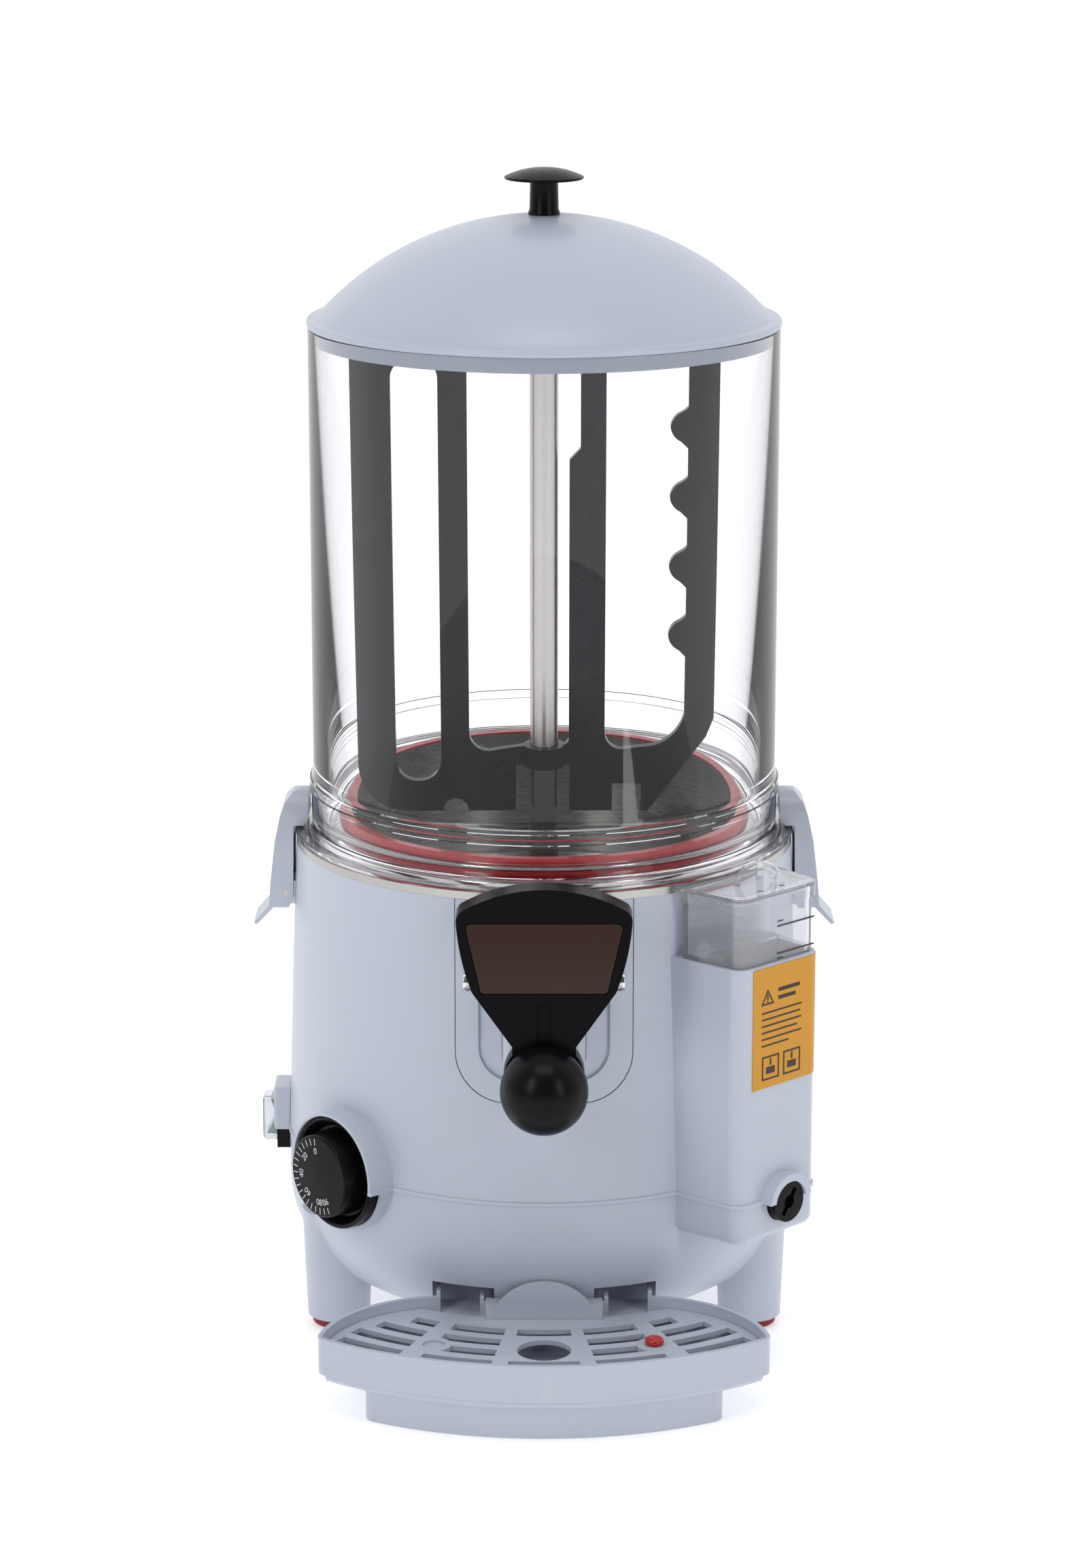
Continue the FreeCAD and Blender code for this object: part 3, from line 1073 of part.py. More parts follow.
def switches():
    face, half = s.switch_face, s.switch_half
    flange = without("switch_flange", brick("switch_flange_form", (-face, -118), (-half, half),
                                            (s.switch_low, s.switch_high)),
                     casing_solid("switch_seat", size(0)), lower_solid("switch_seat_low",
                                                                      size(0)))
    body = brick("switch_body", (-s.seam_radius - 1, -s.seam_radius + s.switch_body_depth),
                 (-s.switch_body_half, s.switch_body_half),
                 (s.switch_body_low, s.switch_body_high))
    well = brick("rocker_well", (-face - 5, -s.rocker_pivot + 8),
                 (-s.rocker_half - s.free_gap, s.rocker_half + s.free_gap),
                 (s.rocker_centre - s.rocker_arm - 1.2, s.rocker_centre + s.rocker_arm + 1.2))
    pin = along_y("rocker_pin", s.rocker_pin, -s.rocker_pivot, s.rocker_centre, -half + 1,
                  half - 1)
    node(together("switch_frame", without("switch_frame_well", together(
        "switch_frame_form", flange, body), well), pin), "switch_frame")
    rocker()
    cover = brick("cover_form", (-s.cover_face, -face), (-s.cover_half, s.cover_half),
                  (s.cover_low, s.cover_high))
    cover = rounded("cover_corners", cover, s.cover_round,
                    lambda e: abs(e.tangentAt(e.FirstParameter).x) > 0.9)
    cover = rounded("cover_edges", cover, size(2),
                    lambda e: e.CenterOfMass.x < -SIZES["cover_face"] + 0.5)
    wall = s.cover_wall
    inside = brick("cover_inside", (-s.cover_face + wall, -face + 5),
                   (-s.cover_half + wall, s.cover_half - wall),
                   (s.cover_low + wall, s.cover_high - wall))
    inside = rounded("cover_inside_corners", inside, s.cover_round - wall,
                     lambda e: abs(e.tangentAt(e.FirstParameter).x) > 0.9)
    node(without("switch_cover", cover, inside), "switch_cover")
    hood = brick("hood_form", (-s.hood_face, -118), (-s.hood_half, s.hood_half),
                 (s.hood_low, s.hood_high))
    hood = rounded("hood_round", hood, size(1.6),
                   lambda e: e.CenterOfMass.x < -SIZES["hood_face"] + 1)
    hood_inside = brick("hood_inside", (-160, -100), (-s.hood_half + s.hood_wall,
                                                      s.hood_half - s.hood_wall),
                        (s.hood_low - 5, s.switch_high + 0.3))
    node(without("switch_hood", hood, hood_inside, casing_solid("hood_seat", size(0)),
                 lower_solid("hood_seat_low", size(0))), "switch_hood")


def rocker():
    """The green rocker: a V in profile that tips about a pin at its root."""
    arm, rise, dip = s.rocker_arm, s.rocker_rise, s.rocker_dip
    tilt = s.rocker_tilt
    corners = [(0, 0), (arm, 1.5), (arm, rise), (0, dip), (-arm, rise), (-arm, 1.5)]
    outline = []
    for along, out in corners:
        along, out = size(along), size(out)
        reach = s.rocker_pivot + out * cosine(tilt) - along * sine(tilt)
        outline.append((-reach, s.rocker_centre + along * cosine(tilt) + out * sine(tilt)))
    low, high = -s.rocker_half, s.rocker_half
    form = together("rocker_form", slab("rocker_blade", "XZ", outline, low, high),
                    along_y("rocker_hub", 3.2, -s.rocker_pivot, s.rocker_centre, low, high))
    node(without("rocker", form, along_y(
        "rocker_bore", s.rocker_pin + s.shaft_gap, -s.rocker_pivot, s.rocker_centre,
        low - 2, high + 2)), "rocker")


def latch_section(side, inner):
    """Side profile of a latch, as (reach, height): hook, cheek, flared tail and back."""
    wall, under = s.latch_wall, s.hook_under
    pin, height = s.latch_pin_reach, s.latch_pin_height
    knee, foot = LATCH_OUTER[-1], height - s.latch_foot
    if inner:
        points = [(pin - 12, under - 6), (pin - 12, s.tail_low - 10),
                  (knee[0] - wall, s.tail_low - 10)]
        points += [(x - wall, z) for x, z in LATCH_OUTER[:3:-1]]
        points.append((LATCH_OUTER[4][0] - wall - 0.5, under - 6))
    else:
        tail = s.side_reach
        points = [(s.hook_nose, LATCH_OUTER[0][1] - 1), (s.hook_nose, under + 4),
                  (s.hook_nose + 2.5, under), (s.bowl_flange_radius + 0.7, under),
                  (pin - 3.8, height - 2.8), (pin - 1.5, foot), (knee[0] - 2.2, foot),
                  (tail - 1.6, s.tail_low), (tail, s.tail_low + 0.8)]
        points += LATCH_OUTER[::-1]
    return [(side * size(x), z) for x, z in points]


def latches():
    half, shoulder = s.latch_half, s.latch_shoulder
    brackets, pins = [], []
    for side, name in ((-1, "left"), (1, "right")):
        blank = slab(f"latch_blank_{name}", "XZ", latch_section(side, False), -half, half)
        crown = slab(f"latch_crown_{name}", "YZ", [
            (-half, s.tail_low - 5), (half, s.tail_low - 5), (half, shoulder),
            (-half, shoulder, s.latch_crown)], -s.side_reach - 5, s.side_reach + 5)
        pocket = slab(f"latch_pocket_{name}", "XZ", latch_section(side, True),
                      -s.bracket_half - 0.5, s.bracket_half + 0.5)
        pin_x, pin_z = side * s.latch_pin_reach, s.latch_pin_height
        bore = along_y(f"latch_bore_{name}", s.latch_pin + s.shaft_gap, pin_x, pin_z, -30, 30)
        node(without(f"latch_{name}", shared(f"latch_form_{name}", blank, crown), pocket, bore),
             f"latch_{name}")
        low_x, high_x = sorted((side * 118, side * (SIZES["latch_pin_reach"] + 2.7)))
        lug = brick(f"bracket_form_{name}", (low_x, high_x), (-s.bracket_half, s.bracket_half),
                    (s.bracket_low, s.bracket_top))
        lug = without(f"bracket_lug_{name}", lug, casing_solid(f"bracket_seat_{name}", size(0)),
                      along_y(f"bracket_bore_{name}", s.latch_pin + 0.02, pin_x, pin_z, -30, 30))
        brackets.append(lug)
        pins.append(along_y(f"latch_pin_{name}", s.latch_pin, pin_x, pin_z, -half, half))
    node(together("latch_brackets", *brackets), "latch_brackets")
    node(together("latch_pins", *pins), "latch_pins")


# ---- drip tray ----

def tray_form(name, side, round_radius, front, body, low, high):
    """A stadium cut by the wide front arc, and by a round clear of the body behind."""
    back = -s.tray_back
    stadium = together(name + "_stadium",
                       rod(name + "_left", round_radius, low, high, -side, back),
                       rod(name + "_right", round_radius, low, high, side, back),
                       brick(name + "_middle", (-side, side), (back - round_radius,
                                                               back + round_radius),
                             (low, high)))
    front_y = -(s.tray_reach - s.tray_front)
    wide = rod(name + "_front", front, low, high, 0, front_y)
    return without(name, shared(name + "_plan", stadium, wide),
                   rod(name + "_body", body, size(low) - 5, size(high) + 5))


def drip_tray():
    wall = s.tray_wall
    tier, ledge_z = s.tier_inset, s.grid_top - s.grid_thick - s.seat_gap

    def level(name, inset, low, high):
        return tray_form(name, s.tray_side, s.tray_round - inset, s.tray_front - inset,
                         s.tray_body_gap + inset, low, high)

    def foot(name, inset, low, high):
        return tray_form(name, s.foot_side, s.foot_round - inset, s.foot_front - inset,
                         s.foot_body + inset, low, high)

    def cornered(item, reach):
        return rounded(item.Name + "_corners", item, s.tray_corner,
                       lambda e: upright(e) and e.CenterOfMass.y < -150
                       and abs(e.CenterOfMass.x) > reach)

    band_form = cornered(level("tray_band_form", size(0), s.tray_band, s.tray_top), 90)
    tier_form = level("tray_tier_form", tier, s.tray_tier, s.tray_band + 1)
    tier_round = rounded("tray_tier_round", tier_form, size(5),
                         lambda e: abs(e.CenterOfMass.z - SIZES["tray_tier"]) < 0.01
                         and e.CenterOfMass.y < -140)
    foot_form = cornered(foot("tray_foot_form", size(0), 0, s.tray_tier + 1), 60)
    tongues, channels = [], []
    for sign in (-1, 1):
        middle = sign * (s.tongue_in + s.tongue_out) / 2
        half = (s.tongue_out - s.tongue_in) / 2
        tongues.append(brick(f"tongue_{sign}", (middle - half, middle + half),
                             (-s.tray_body_gap - 6, -s.tongue_end),
                             (ledge_z - wall, s.tongue_top)))
        channels.append(brick(f"channel_{sign}", (middle - half + 2, middle + half - 2),
                              (-s.tray_body_gap - 12, -s.tongue_end + 5),
                              (ledge_z, s.tongue_top + 5)))
    tab_disc = along_y("tab_disc", s.tab_radius, 0, s.tab_centre, -s.tab_plane - s.tab_thick,
                       -s.tab_plane)
    tab = shared("tab_half_disc", tab_disc, brick("tab_zone", (-60, 60), (-150, -110),
                                                  (s.tab_ledge - 1, 70)))
    tab_wall = without("tab_wall", brick("tab_block", (-s.tab_half, s.tab_half),
                                         (-s.tab_plane - s.tab_thick, -s.tray_body_gap + 5),
                                         (s.tray_band + 1, s.tab_ledge)),
                       rod("tab_clearance", s.tray_body_gap + 1, 0, 60))
    form = together("tray_form_all", band_form, tier_round, foot_form)
    basin = together("tray_basin",
                     level("basin_top", wall, ledge_z, s.tray_top + 5),
                     level("basin_mid", wall + s.grid_ledge, s.tray_band + wall, ledge_z + 1),
                     level("basin_tier", tier + wall, s.tray_tier + wall, s.tray_band + wall
                           + 1),
                     foot("basin_foot", wall, s.tray_floor, s.tray_tier + wall + 1))
    shell = without("tray_shell", form, basin)
    reach = shared("tongues_trimmed", together("tongues", *tongues),
                   rod("tongue_zone", s.tray_body_gap + wall, 0, 60))
    item = without("tray_with_tongues", together("tray_joined", shell, reach), *channels)
    node(together("drip_tray", item, tab, tab_wall), "drip_tray")


def sector(name, inner, outer, start, end, low, high):
    """A curved slot between two radii about the tray's front-arc centre."""
    parts = []
    for key, radius in (("out", outer), ("in", inner)):
        part = doc.addObject("Part::Cylinder", f"{name}_{key}")
        bind(part, "Radius", radius)
        bind(part, "Height", size(high) - low)
        bind(part, "Angle", end - start)
        front_y = -(s.tray_reach - s.tray_front)
        parts.append(place(part, 0, front_y, low, start - 90))
    return without(name, *parts)


def drip_grid():
    gap = s.tray_wall + s.free_gap
    low = s.grid_top - s.grid_thick
    plate = tray_form("grid_plate", s.tray_side, s.tray_round - gap, s.tray_front - gap,
                      s.tab_plane + s.tab_thick + s.free_gap, low, s.grid_top)
    slots = []
    for row in range(4):
        inner = s.slot_first + row * s.slot_pitch
        for column, (start, end) in GRID_COLUMNS.items():
            if column == 3 and row in (1, 2):
                continue
            if column == 1:
                start = -GRID_OUTER_END[row]
            if column == 5:
                end = GRID_OUTER_END[row]
            slots.append(sector(f"slot_{row}_{column}", inner, inner + s.slot_width, start, end,
                                low - 1, s.grid_top + 1))
    notch = brick("grid_tab_notch", (-s.tab_half - s.free_gap, s.tab_half + s.free_gap),
                  (-s.tab_plane - s.tab_thick - s.free_gap, -100), (low - 1, s.grid_top + 1))
    hole = rod("grid_round_hole", s.grid_hole, low - 1, s.grid_top + 1, 0, -s.grid_hole_reach)
    float_pad = rod("float_pad", s.float_radius + 4, low, s.grid_top, s.float_x,
                    -s.float_reach)
    float_hole = rod("float_hole", s.float_stem + s.free_gap, low - 1, s.grid_top + 1,
                     s.float_x, -s.float_reach)
    pad_left = rod("pocket_pad", s.float_radius + 4, low, s.grid_top, -s.float_x,
                   -s.float_reach)
    pocket = rod("pocket", s.float_radius + 1, s.grid_top - 1.4, s.grid_top + 1, -s.float_x,
                 -s.float_reach)
    item = without("drip_grid", together("grid_form", without("grid_slotted", plate, hole, notch,
                                                              *slots), float_pad, pad_left),
                   float_hole, pocket)
    node(item, "drip_grid")
    top = s.grid_top + s.free_gap
    node(place(turned("tray_float", [
        (0, s.grid_top - 20), (s.float_radius, s.grid_top - 20),
        (s.float_radius, s.grid_top - 12), (s.float_stem, s.grid_top - 12),
        (s.float_stem, top), (s.float_radius, top),
        (s.float_radius, top + s.float_rise - 2), (s.float_radius - 2, top + s.float_rise, 2),
        (0, top + s.float_rise)]),
        s.float_x, -s.float_reach, 0), "tray_float")


upper_casing()
lower_casing()
feet()
floor_parts()
drive()
heating()
bowl()
lid()
stirrer()
tap_fixed()
tap_moving()
tap_lever()
front_panel()
water_level()
drain()
dial()
switches()
latches()
drip_tray()
drip_grid()
doc.recompute()

# ---- checks, then one file for each sub-part ----
failed = [f"{item.Name}: {item.State}" for item in doc.Objects
          if "Invalid" in item.State or "Error" in item.State]
for item in nodes:
    if item.Shape.isNull() or not item.Shape.isValid() or not item.Shape.Solids:
        failed.append(f"{item.Label}: no valid solid")
if failed:
    raise RuntimeError("features that did not build: " + "; ".join(failed))
os.makedirs("parts", exist_ok=True)
for item in nodes:
    item.Shape.exportStep(f"parts/{item.Label}.step")
    box = item.Shape.BoundBox
    print(f"{item.Label:18s} {item.Shape.Volume / 1000:9.2f} cm3  "
          f"x {box.XMin:7.1f} {box.XMax:7.1f}  y {box.YMin:7.1f} {box.YMax:7.1f}  "
          f"z {box.ZMin:6.1f} {box.ZMax:6.1f}  solids {len(item.Shape.Solids)}")
print(len(nodes), "nodes")
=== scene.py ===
import json
import math

import bmesh
import bpy
from mathutils import Matrix, Vector

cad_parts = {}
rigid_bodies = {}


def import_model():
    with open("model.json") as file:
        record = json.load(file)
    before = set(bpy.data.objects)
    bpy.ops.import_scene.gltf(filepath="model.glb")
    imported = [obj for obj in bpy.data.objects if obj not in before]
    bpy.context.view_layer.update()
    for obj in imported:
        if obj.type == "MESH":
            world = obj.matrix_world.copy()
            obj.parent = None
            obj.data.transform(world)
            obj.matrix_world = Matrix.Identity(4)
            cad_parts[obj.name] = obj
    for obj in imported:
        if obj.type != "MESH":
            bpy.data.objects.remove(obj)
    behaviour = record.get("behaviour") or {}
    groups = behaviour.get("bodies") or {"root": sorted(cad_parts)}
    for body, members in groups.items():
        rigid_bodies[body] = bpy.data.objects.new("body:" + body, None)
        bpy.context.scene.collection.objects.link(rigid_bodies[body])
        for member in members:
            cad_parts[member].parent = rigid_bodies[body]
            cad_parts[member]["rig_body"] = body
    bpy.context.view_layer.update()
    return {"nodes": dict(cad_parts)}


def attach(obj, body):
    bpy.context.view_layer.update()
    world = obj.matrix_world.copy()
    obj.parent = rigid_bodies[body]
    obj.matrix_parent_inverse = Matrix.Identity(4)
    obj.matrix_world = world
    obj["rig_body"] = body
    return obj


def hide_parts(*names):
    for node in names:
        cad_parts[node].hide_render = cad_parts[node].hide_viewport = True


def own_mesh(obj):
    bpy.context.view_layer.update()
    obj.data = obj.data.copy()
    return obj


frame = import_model()
parts = frame["nodes"]
scene = bpy.context.scene

# The counter, the backdrop and the studio. A plain pale floor under the machine, two large soft
# boxes and a lit white surround; the camera stands in front, a little above the bowl.
floor_mesh = bpy.data.meshes.new("counter_top")
floor_mesh.from_pydata([(-40, -40, 0), (40, -40, 0), (40, 40, 0), (-40, 40, 0)], [],
                       [(0, 1, 2, 3)])
counter = bpy.data.objects.new("counter_top", floor_mesh)
scene.collection.objects.link(counter)
counter.location.z = -0.0004
counter_paint = bpy.data.materials.new("counter_white")
counter_paint.use_nodes = True
shader = counter_paint.node_tree.nodes["Principled BSDF"]
shader.inputs["Base Color"].default_value = (0.86, 0.86, 0.865, 1)
shader.inputs["Roughness"].default_value = 0.6
shader.inputs["Emission Color"].default_value = (1, 1, 1, 1)
shader.inputs["Emission Strength"].default_value = 0.42
counter.data.materials.append(counter_paint)

surround = bpy.data.worlds.new("studio_surround")
surround.use_nodes = True
sky = surround.node_tree
direction = sky.nodes.new("ShaderNodeTexCoord")
split = sky.nodes.new("ShaderNodeSeparateXYZ")
sky.links.new(direction.outputs["Generated"], split.inputs[0])
behind = sky.nodes.new("ShaderNodeMapRange")
behind.interpolation_type = "SMOOTHSTEP"
behind.inputs["From Min"].default_value = -0.65
behind.inputs["From Max"].default_value = 0.5
behind.inputs["To Min"].default_value = 0.1
behind.inputs["To Max"].default_value = 1.12
sky.links.new(split.outputs["Y"], behind.inputs["Value"])
backdrop = sky.nodes["Background"]
backdrop.inputs["Color"].default_value = (0.985, 0.99, 1.0, 1)
sky.links.new(behind.outputs[0], backdrop.inputs["Strength"])
scene.world = surround
soft_boxes = {
    "left_soft_box": ((-1.3, -1.7, 1.35), (0.5, 1.4), 13),
    "right_soft_box": ((1.4, -1.5, 1.0), (0.4, 1.3), 8),
    "top_soft_box": ((0.0, -0.6, 2.0), (1.2, 0.7), 8),
}
for name, (place, (wide, tall), power) in soft_boxes.items():
    light = bpy.data.lights.new(name, "AREA")
    light.shape = "RECTANGLE"
    light.size, light.size_y, light.energy = wide, tall, power
    lamp = bpy.data.objects.new(name, light)
    lamp.location = place
    lamp.rotation_euler = (Vector((0, 0, 0.3)) - Vector(place)).to_track_quat("-Z", "Y").to_euler()
    scene.collection.objects.link(lamp)

# The camera looks straight back at the machine and dips a little; metres, millimetres, radians.
CAMERA_DISTANCE, CAMERA_HEIGHT, CAMERA_DIP = 1.9998, 0.78806, 0.2493
SENSOR_WIDTH, FOCAL_LENGTH, SIDE_SHIFT = 36, 95.37, -0.00102
lens = bpy.data.cameras.new("studio_camera")
lens.sensor_fit = "AUTO"
lens.sensor_width = SENSOR_WIDTH
lens.lens = FOCAL_LENGTH
lens.shift_x = SIDE_SHIFT
camera = bpy.data.objects.new("studio_camera", lens)
camera.location = (0, -CAMERA_DISTANCE, CAMERA_HEIGHT)
camera.rotation_euler = (math.pi / 2 - CAMERA_DIP, 0, 0)
scene.collection.objects.link(camera)
scene.camera = camera
scene.view_settings.view_transform = "Standard"

# The two halves of the casing, one thin moulding of bluish white plastic each. Their edges are
# broken by a small radius, and the skin has the faint texture of a polished mould.
SHELL_WHITE = (0.5, 0.54, 0.63)


def mould_group():
    """Moulded plastic skin: faint cloudiness, fine texture and convex edges lightened in the
    colour as a painted highlight.
    """
    tree = bpy.data.node_groups.new("moulded_skin", "ShaderNodeTree")
    face = tree.interface
    for name, kind, start in (("Colour", "Color", (0.6, 0.6, 0.6, 1)), ("Roughness", "Float", 0.4),
                              ("Cloudiness", "Float", 0.04), ("Grain", "Float", 0.1),
                              ("Grain Size", "Float", 900.0), ("Painted Edge Highlight", "Float", 0.2)):
        socket = face.new_socket(name, in_out="INPUT", socket_type="NodeSocket" + kind)
        socket.default_value = start
    for name, kind in (("Colour", "Color"), ("Roughness", "Float"), ("Height", "Float")):
        face.new_socket(name, in_out="OUTPUT", socket_type="NodeSocket" + kind)
    add, link = tree.nodes.new, tree.links.new
    given, made = add("NodeGroupInput"), add("NodeGroupOutput")
    where = add("ShaderNodeTexCoord")
    cloud = add("ShaderNodeTexNoise")
    cloud.inputs["Scale"].default_value = 16
    cloud.inputs["Detail"].default_value = 4
    link(where.outputs["Object"], cloud.inputs["Vector"])
    fine = add("ShaderNodeTexNoise")
    fine.inputs["Detail"].default_value = 3
    link(where.outputs["Object"], fine.inputs["Vector"])
    link(given.outputs["Grain Size"], fine.inputs["Scale"])
    centred = add("ShaderNodeMath")
    centred.operation = "SUBTRACT"
    centred.inputs[1].default_value = 0.5
    link(cloud.outputs["Fac"], centred.inputs[0])
    scaled = add("ShaderNodeMath")
    scaled.operation = "MULTIPLY"
    link(centred.outputs[0], scaled.inputs[0])
    link(given.outputs["Cloudiness"], scaled.inputs[1])
    value = add("ShaderNodeMath")
    value.operation = "ADD"
    value.inputs[1].default_value = 1
    link(scaled.outputs[0], value.inputs[0])
    # Painted highlight: convex edges, found by pointiness, are mixed towards pale grey in the base
    # colour.
    geometry = add("ShaderNodeNewGeometry")
    edge = add("ShaderNodeMapRange")
    edge.inputs["From Min"].default_value = 0.53
    edge.inputs["From Max"].default_value = 0.62
    link(geometry.outputs["Pointiness"], edge.inputs["Value"])
    edge_highlight_share = add("ShaderNodeMath")
    edge_highlight_share.operation = "MULTIPLY"
    link(edge.outputs[0], edge_highlight_share.inputs[0])
    link(given.outputs["Painted Edge Highlight"], edge_highlight_share.inputs[1])
    tint = add("ShaderNodeHueSaturation")
    link(value.outputs[0], tint.inputs["Value"])
    link(given.outputs["Colour"], tint.inputs["Color"])
    highlighted = add("ShaderNodeMix")
    highlighted.data_type = "RGBA"
    highlighted.inputs[7].default_value = (0.8, 0.8, 0.8, 1)
    link(edge_highlight_share.outputs[0], highlighted.inputs[0])
    link(tint.outputs["Color"], highlighted.inputs[6])
    link(highlighted.outputs[2], made.inputs["Colour"])
    rough = add("ShaderNodeMath")
    rough.operation = "MULTIPLY_ADD"
    rough.inputs[1].default_value = 1.6
    link(scaled.outputs[0], rough.inputs[0])
    link(given.outputs["Roughness"], rough.inputs[2])
    link(rough.outputs[0], made.inputs["Roughness"])
    height = add("ShaderNodeMath")
    height.operation = "MULTIPLY"
    link(fine.outputs["Fac"], height.inputs[0])
    link(given.outputs["Grain"], height.inputs[1])
    link(height.outputs[0], made.inputs["Height"])
    return tree


MOULDED = mould_group()


def moulded(name, colour, roughness=0.4, cloudiness=0.04, grain=0.1, grain_size=900.0,
            painted_edge_highlight=0.15, coat=0.0, specular=0.5):
    """A moulded plastic or rubber with its own colour and skin."""
    material = bpy.data.materials.new(name)
    material.use_nodes = True
    tree = material.node_tree
    shader = tree.nodes["Principled BSDF"]
    skin = tree.nodes.new("ShaderNodeGroup")
    skin.node_tree = MOULDED
    skin.inputs["Colour"].default_value = (*colour, 1)
    for label, amount in (("Roughness", roughness), ("Cloudiness", cloudiness), ("Grain", grain),
                          ("Grain Size", grain_size), ("Painted Edge Highlight", painted_edge_highlight)):
        skin.inputs[label].default_value = amount
    relief = tree.nodes.new("ShaderNodeBump")
    relief.inputs["Strength"].default_value = 0.35
    relief.inputs["Distance"].default_value = 0.00012
    tree.links.new(skin.outputs["Colour"], shader.inputs["Base Color"])
    tree.links.new(skin.outputs["Roughness"], shader.inputs["Roughness"])
    tree.links.new(skin.outputs["Height"], relief.inputs["Height"])
    tree.links.new(relief.outputs["Normal"], shader.inputs["Normal"])
    shader.inputs["Specular IOR Level"].default_value = specular
    shader.inputs["Coat Weight"].default_value = coat
    shader.inputs["Coat Roughness"].default_value = 0.08
    return material


# The shell's sharp edges are lightened a little in its colour, a painted highlight.
shell_plastic = moulded("shell_white", SHELL_WHITE, 0.38, grain=0.12, coat=0.12)


def paint(name, material):
    """Give a CAD node its material."""
    mesh = parts[name].data
    mesh.materials.clear()
    mesh.materials.append(material)


def soften(name, radius, material, segments=3, limit=28):
    """A copy of a moulded piece with its sharp edges broken by a small radius."""
    source = parts[name]
    mesh = source.data.copy()
    mesh.name = name + "_moulding"
    shape = bmesh.new()
    shape.from_mesh(mesh)
    bmesh.ops.remove_doubles(shape, verts=shape.verts, dist=2e-6)
    bmesh.ops.dissolve_limit(shape, angle_limit=math.radians(0.6), verts=shape.verts,
                             edges=shape.edges, delimit={"NORMAL"})
    shape.to_mesh(mesh)
    shape.free()
    if mesh.has_custom_normals:
        mesh.attributes.remove(mesh.attributes["custom_normal"])
    piece = bpy.data.objects.new(name + "_moulding", mesh)
    scene.collection.objects.link(piece)
    edges = piece.modifiers.new("broken_edges", "BEVEL")
    edges.width = radius
    edges.segments = segments
    edges.limit_method = "ANGLE"
    edges.angle_limit = math.radians(limit)
    edges.harden_normals = True
    edges.use_clamp_overlap = True
    edges.miter_outer = "MITER_ARC"
    for face in mesh.polygons:
        face.use_smooth = True
    mesh.set_sharp_from_angle(angle=math.radians(limit))
    mesh.materials.clear()
    mesh.materials.append(material)
    body = source["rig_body"]
    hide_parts(name)
    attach(piece, body)
    return piece


soften("upper_casing", 0.0009, shell_plastic)
soften("lower_casing", 0.0009, shell_plastic)
soften("front_panel", 0.0006, shell_plastic)

# Four rubber feet, dark red, plugged into the legs.
foot_rubber = moulded("foot_red", (0.22, 0.01, 0.014), 0.6, grain=0.4, grain_size=1500,
                      painted_edge_highlight=0)
for corner in ("front_left", "front_right", "rear_left", "rear_right"):
    paint("foot_" + corner, foot_rubber)


# Steel parts: the drive inside, the water tank with its bright rim, the dish and the tube.
def brushed(name, colour, roughness, along, scratch=0.25):
    """Brushed or turned steel; along gives the noise's stretch on each axis."""
    material = bpy.data.materials.new(name)
    material.use_nodes = True
    tree = material.node_tree
    shader = tree.nodes["Principled BSDF"]
    shader.inputs["Metallic"].default_value = 1
    where = tree.nodes.new("ShaderNodeTexCoord")
    stretch = tree.nodes.new("ShaderNodeMapping")
    stretch.inputs["Scale"].default_value = along
    lines = tree.nodes.new("ShaderNodeTexNoise")
    lines.inputs["Scale"].default_value = 1
    lines.inputs["Detail"].default_value = 6
    tree.links.new(where.outputs["Object"], stretch.inputs["Vector"])
    tree.links.new(stretch.outputs["Vector"], lines.inputs["Vector"])
    tone = tree.nodes.new("ShaderNodeMix")
    tone.data_type = "RGBA"
    tone.inputs[6].default_value = (*[c * 0.82 for c in colour], 1)
    tone.inputs[7].default_value = (*colour, 1)
    tree.links.new(lines.outputs["Fac"], tone.inputs[0])
    tree.links.new(tone.outputs[2], shader.inputs["Base Color"])
    rough = tree.nodes.new("ShaderNodeMapRange")
    rough.inputs["To Min"].default_value = roughness * 0.75
    rough.inputs["To Max"].default_value = roughness * 1.25
    tree.links.new(lines.outputs["Fac"], rough.inputs["Value"])
    tree.links.new(rough.outputs[0], shader.inputs["Roughness"])
    relief = tree.nodes.new("ShaderNodeBump")
    relief.inputs["Strength"].default_value = scratch
    relief.inputs["Distance"].default_value = 0.00006
    tree.links.new(lines.outputs["Fac"], relief.inputs["Height"])
    tree.links.new(relief.outputs["Normal"], shader.inputs["Normal"])
    return material


turned_steel = brushed("turned_steel", (0.5, 0.49, 0.47), 0.28, (60, 60, 2600))
drawn_steel = brushed("drawn_steel", (0.56, 0.54, 0.51), 0.24, (1800, 1800, 18))
for name in ("boiler_tank", "heating_dish", "heating_element", "tube_nut", "shaft_coupling",
             "base_plate", "outlet_tube", "level_pipe", "latch_brackets", "latch_pins",
             "casing_screws", "lid_knob_screw", "tap_spring"):
    paint(name, turned_steel)
for name in ("centre_tube", "drive_shaft"):
    paint(name, drawn_steel)
machine_grey = moulded("machine_grey", (0.09, 0.1, 0.11), 0.5, grain=0.5)
for name in ("gearbox", "motor", "thermostat"):
    paint(name, machine_grey)
nylon = moulded("nylon", (0.62, 0.61, 0.57), 0.45)
for name in ("tube_bushings", "tap_plunger"):
    paint(name, nylon)

# Red silicone: the bowl's gasket and the small seals.
silicone = moulded("silicone_red", (0.66, 0.014, 0.026), 0.35, grain=0.1, painted_edge_highlight=0, coat=0.2)
for name in ("bowl_gasket", "tube_seal", "plunger_seal"):
    paint(name, silicone)


# The bowl, thick clear plastic with a faint violet body that shows at its edges. It is turned
# about the tank axis; two raised rings run round its foot and its top edge is eased.
AXIS = Vector((0, 0.035, 0))


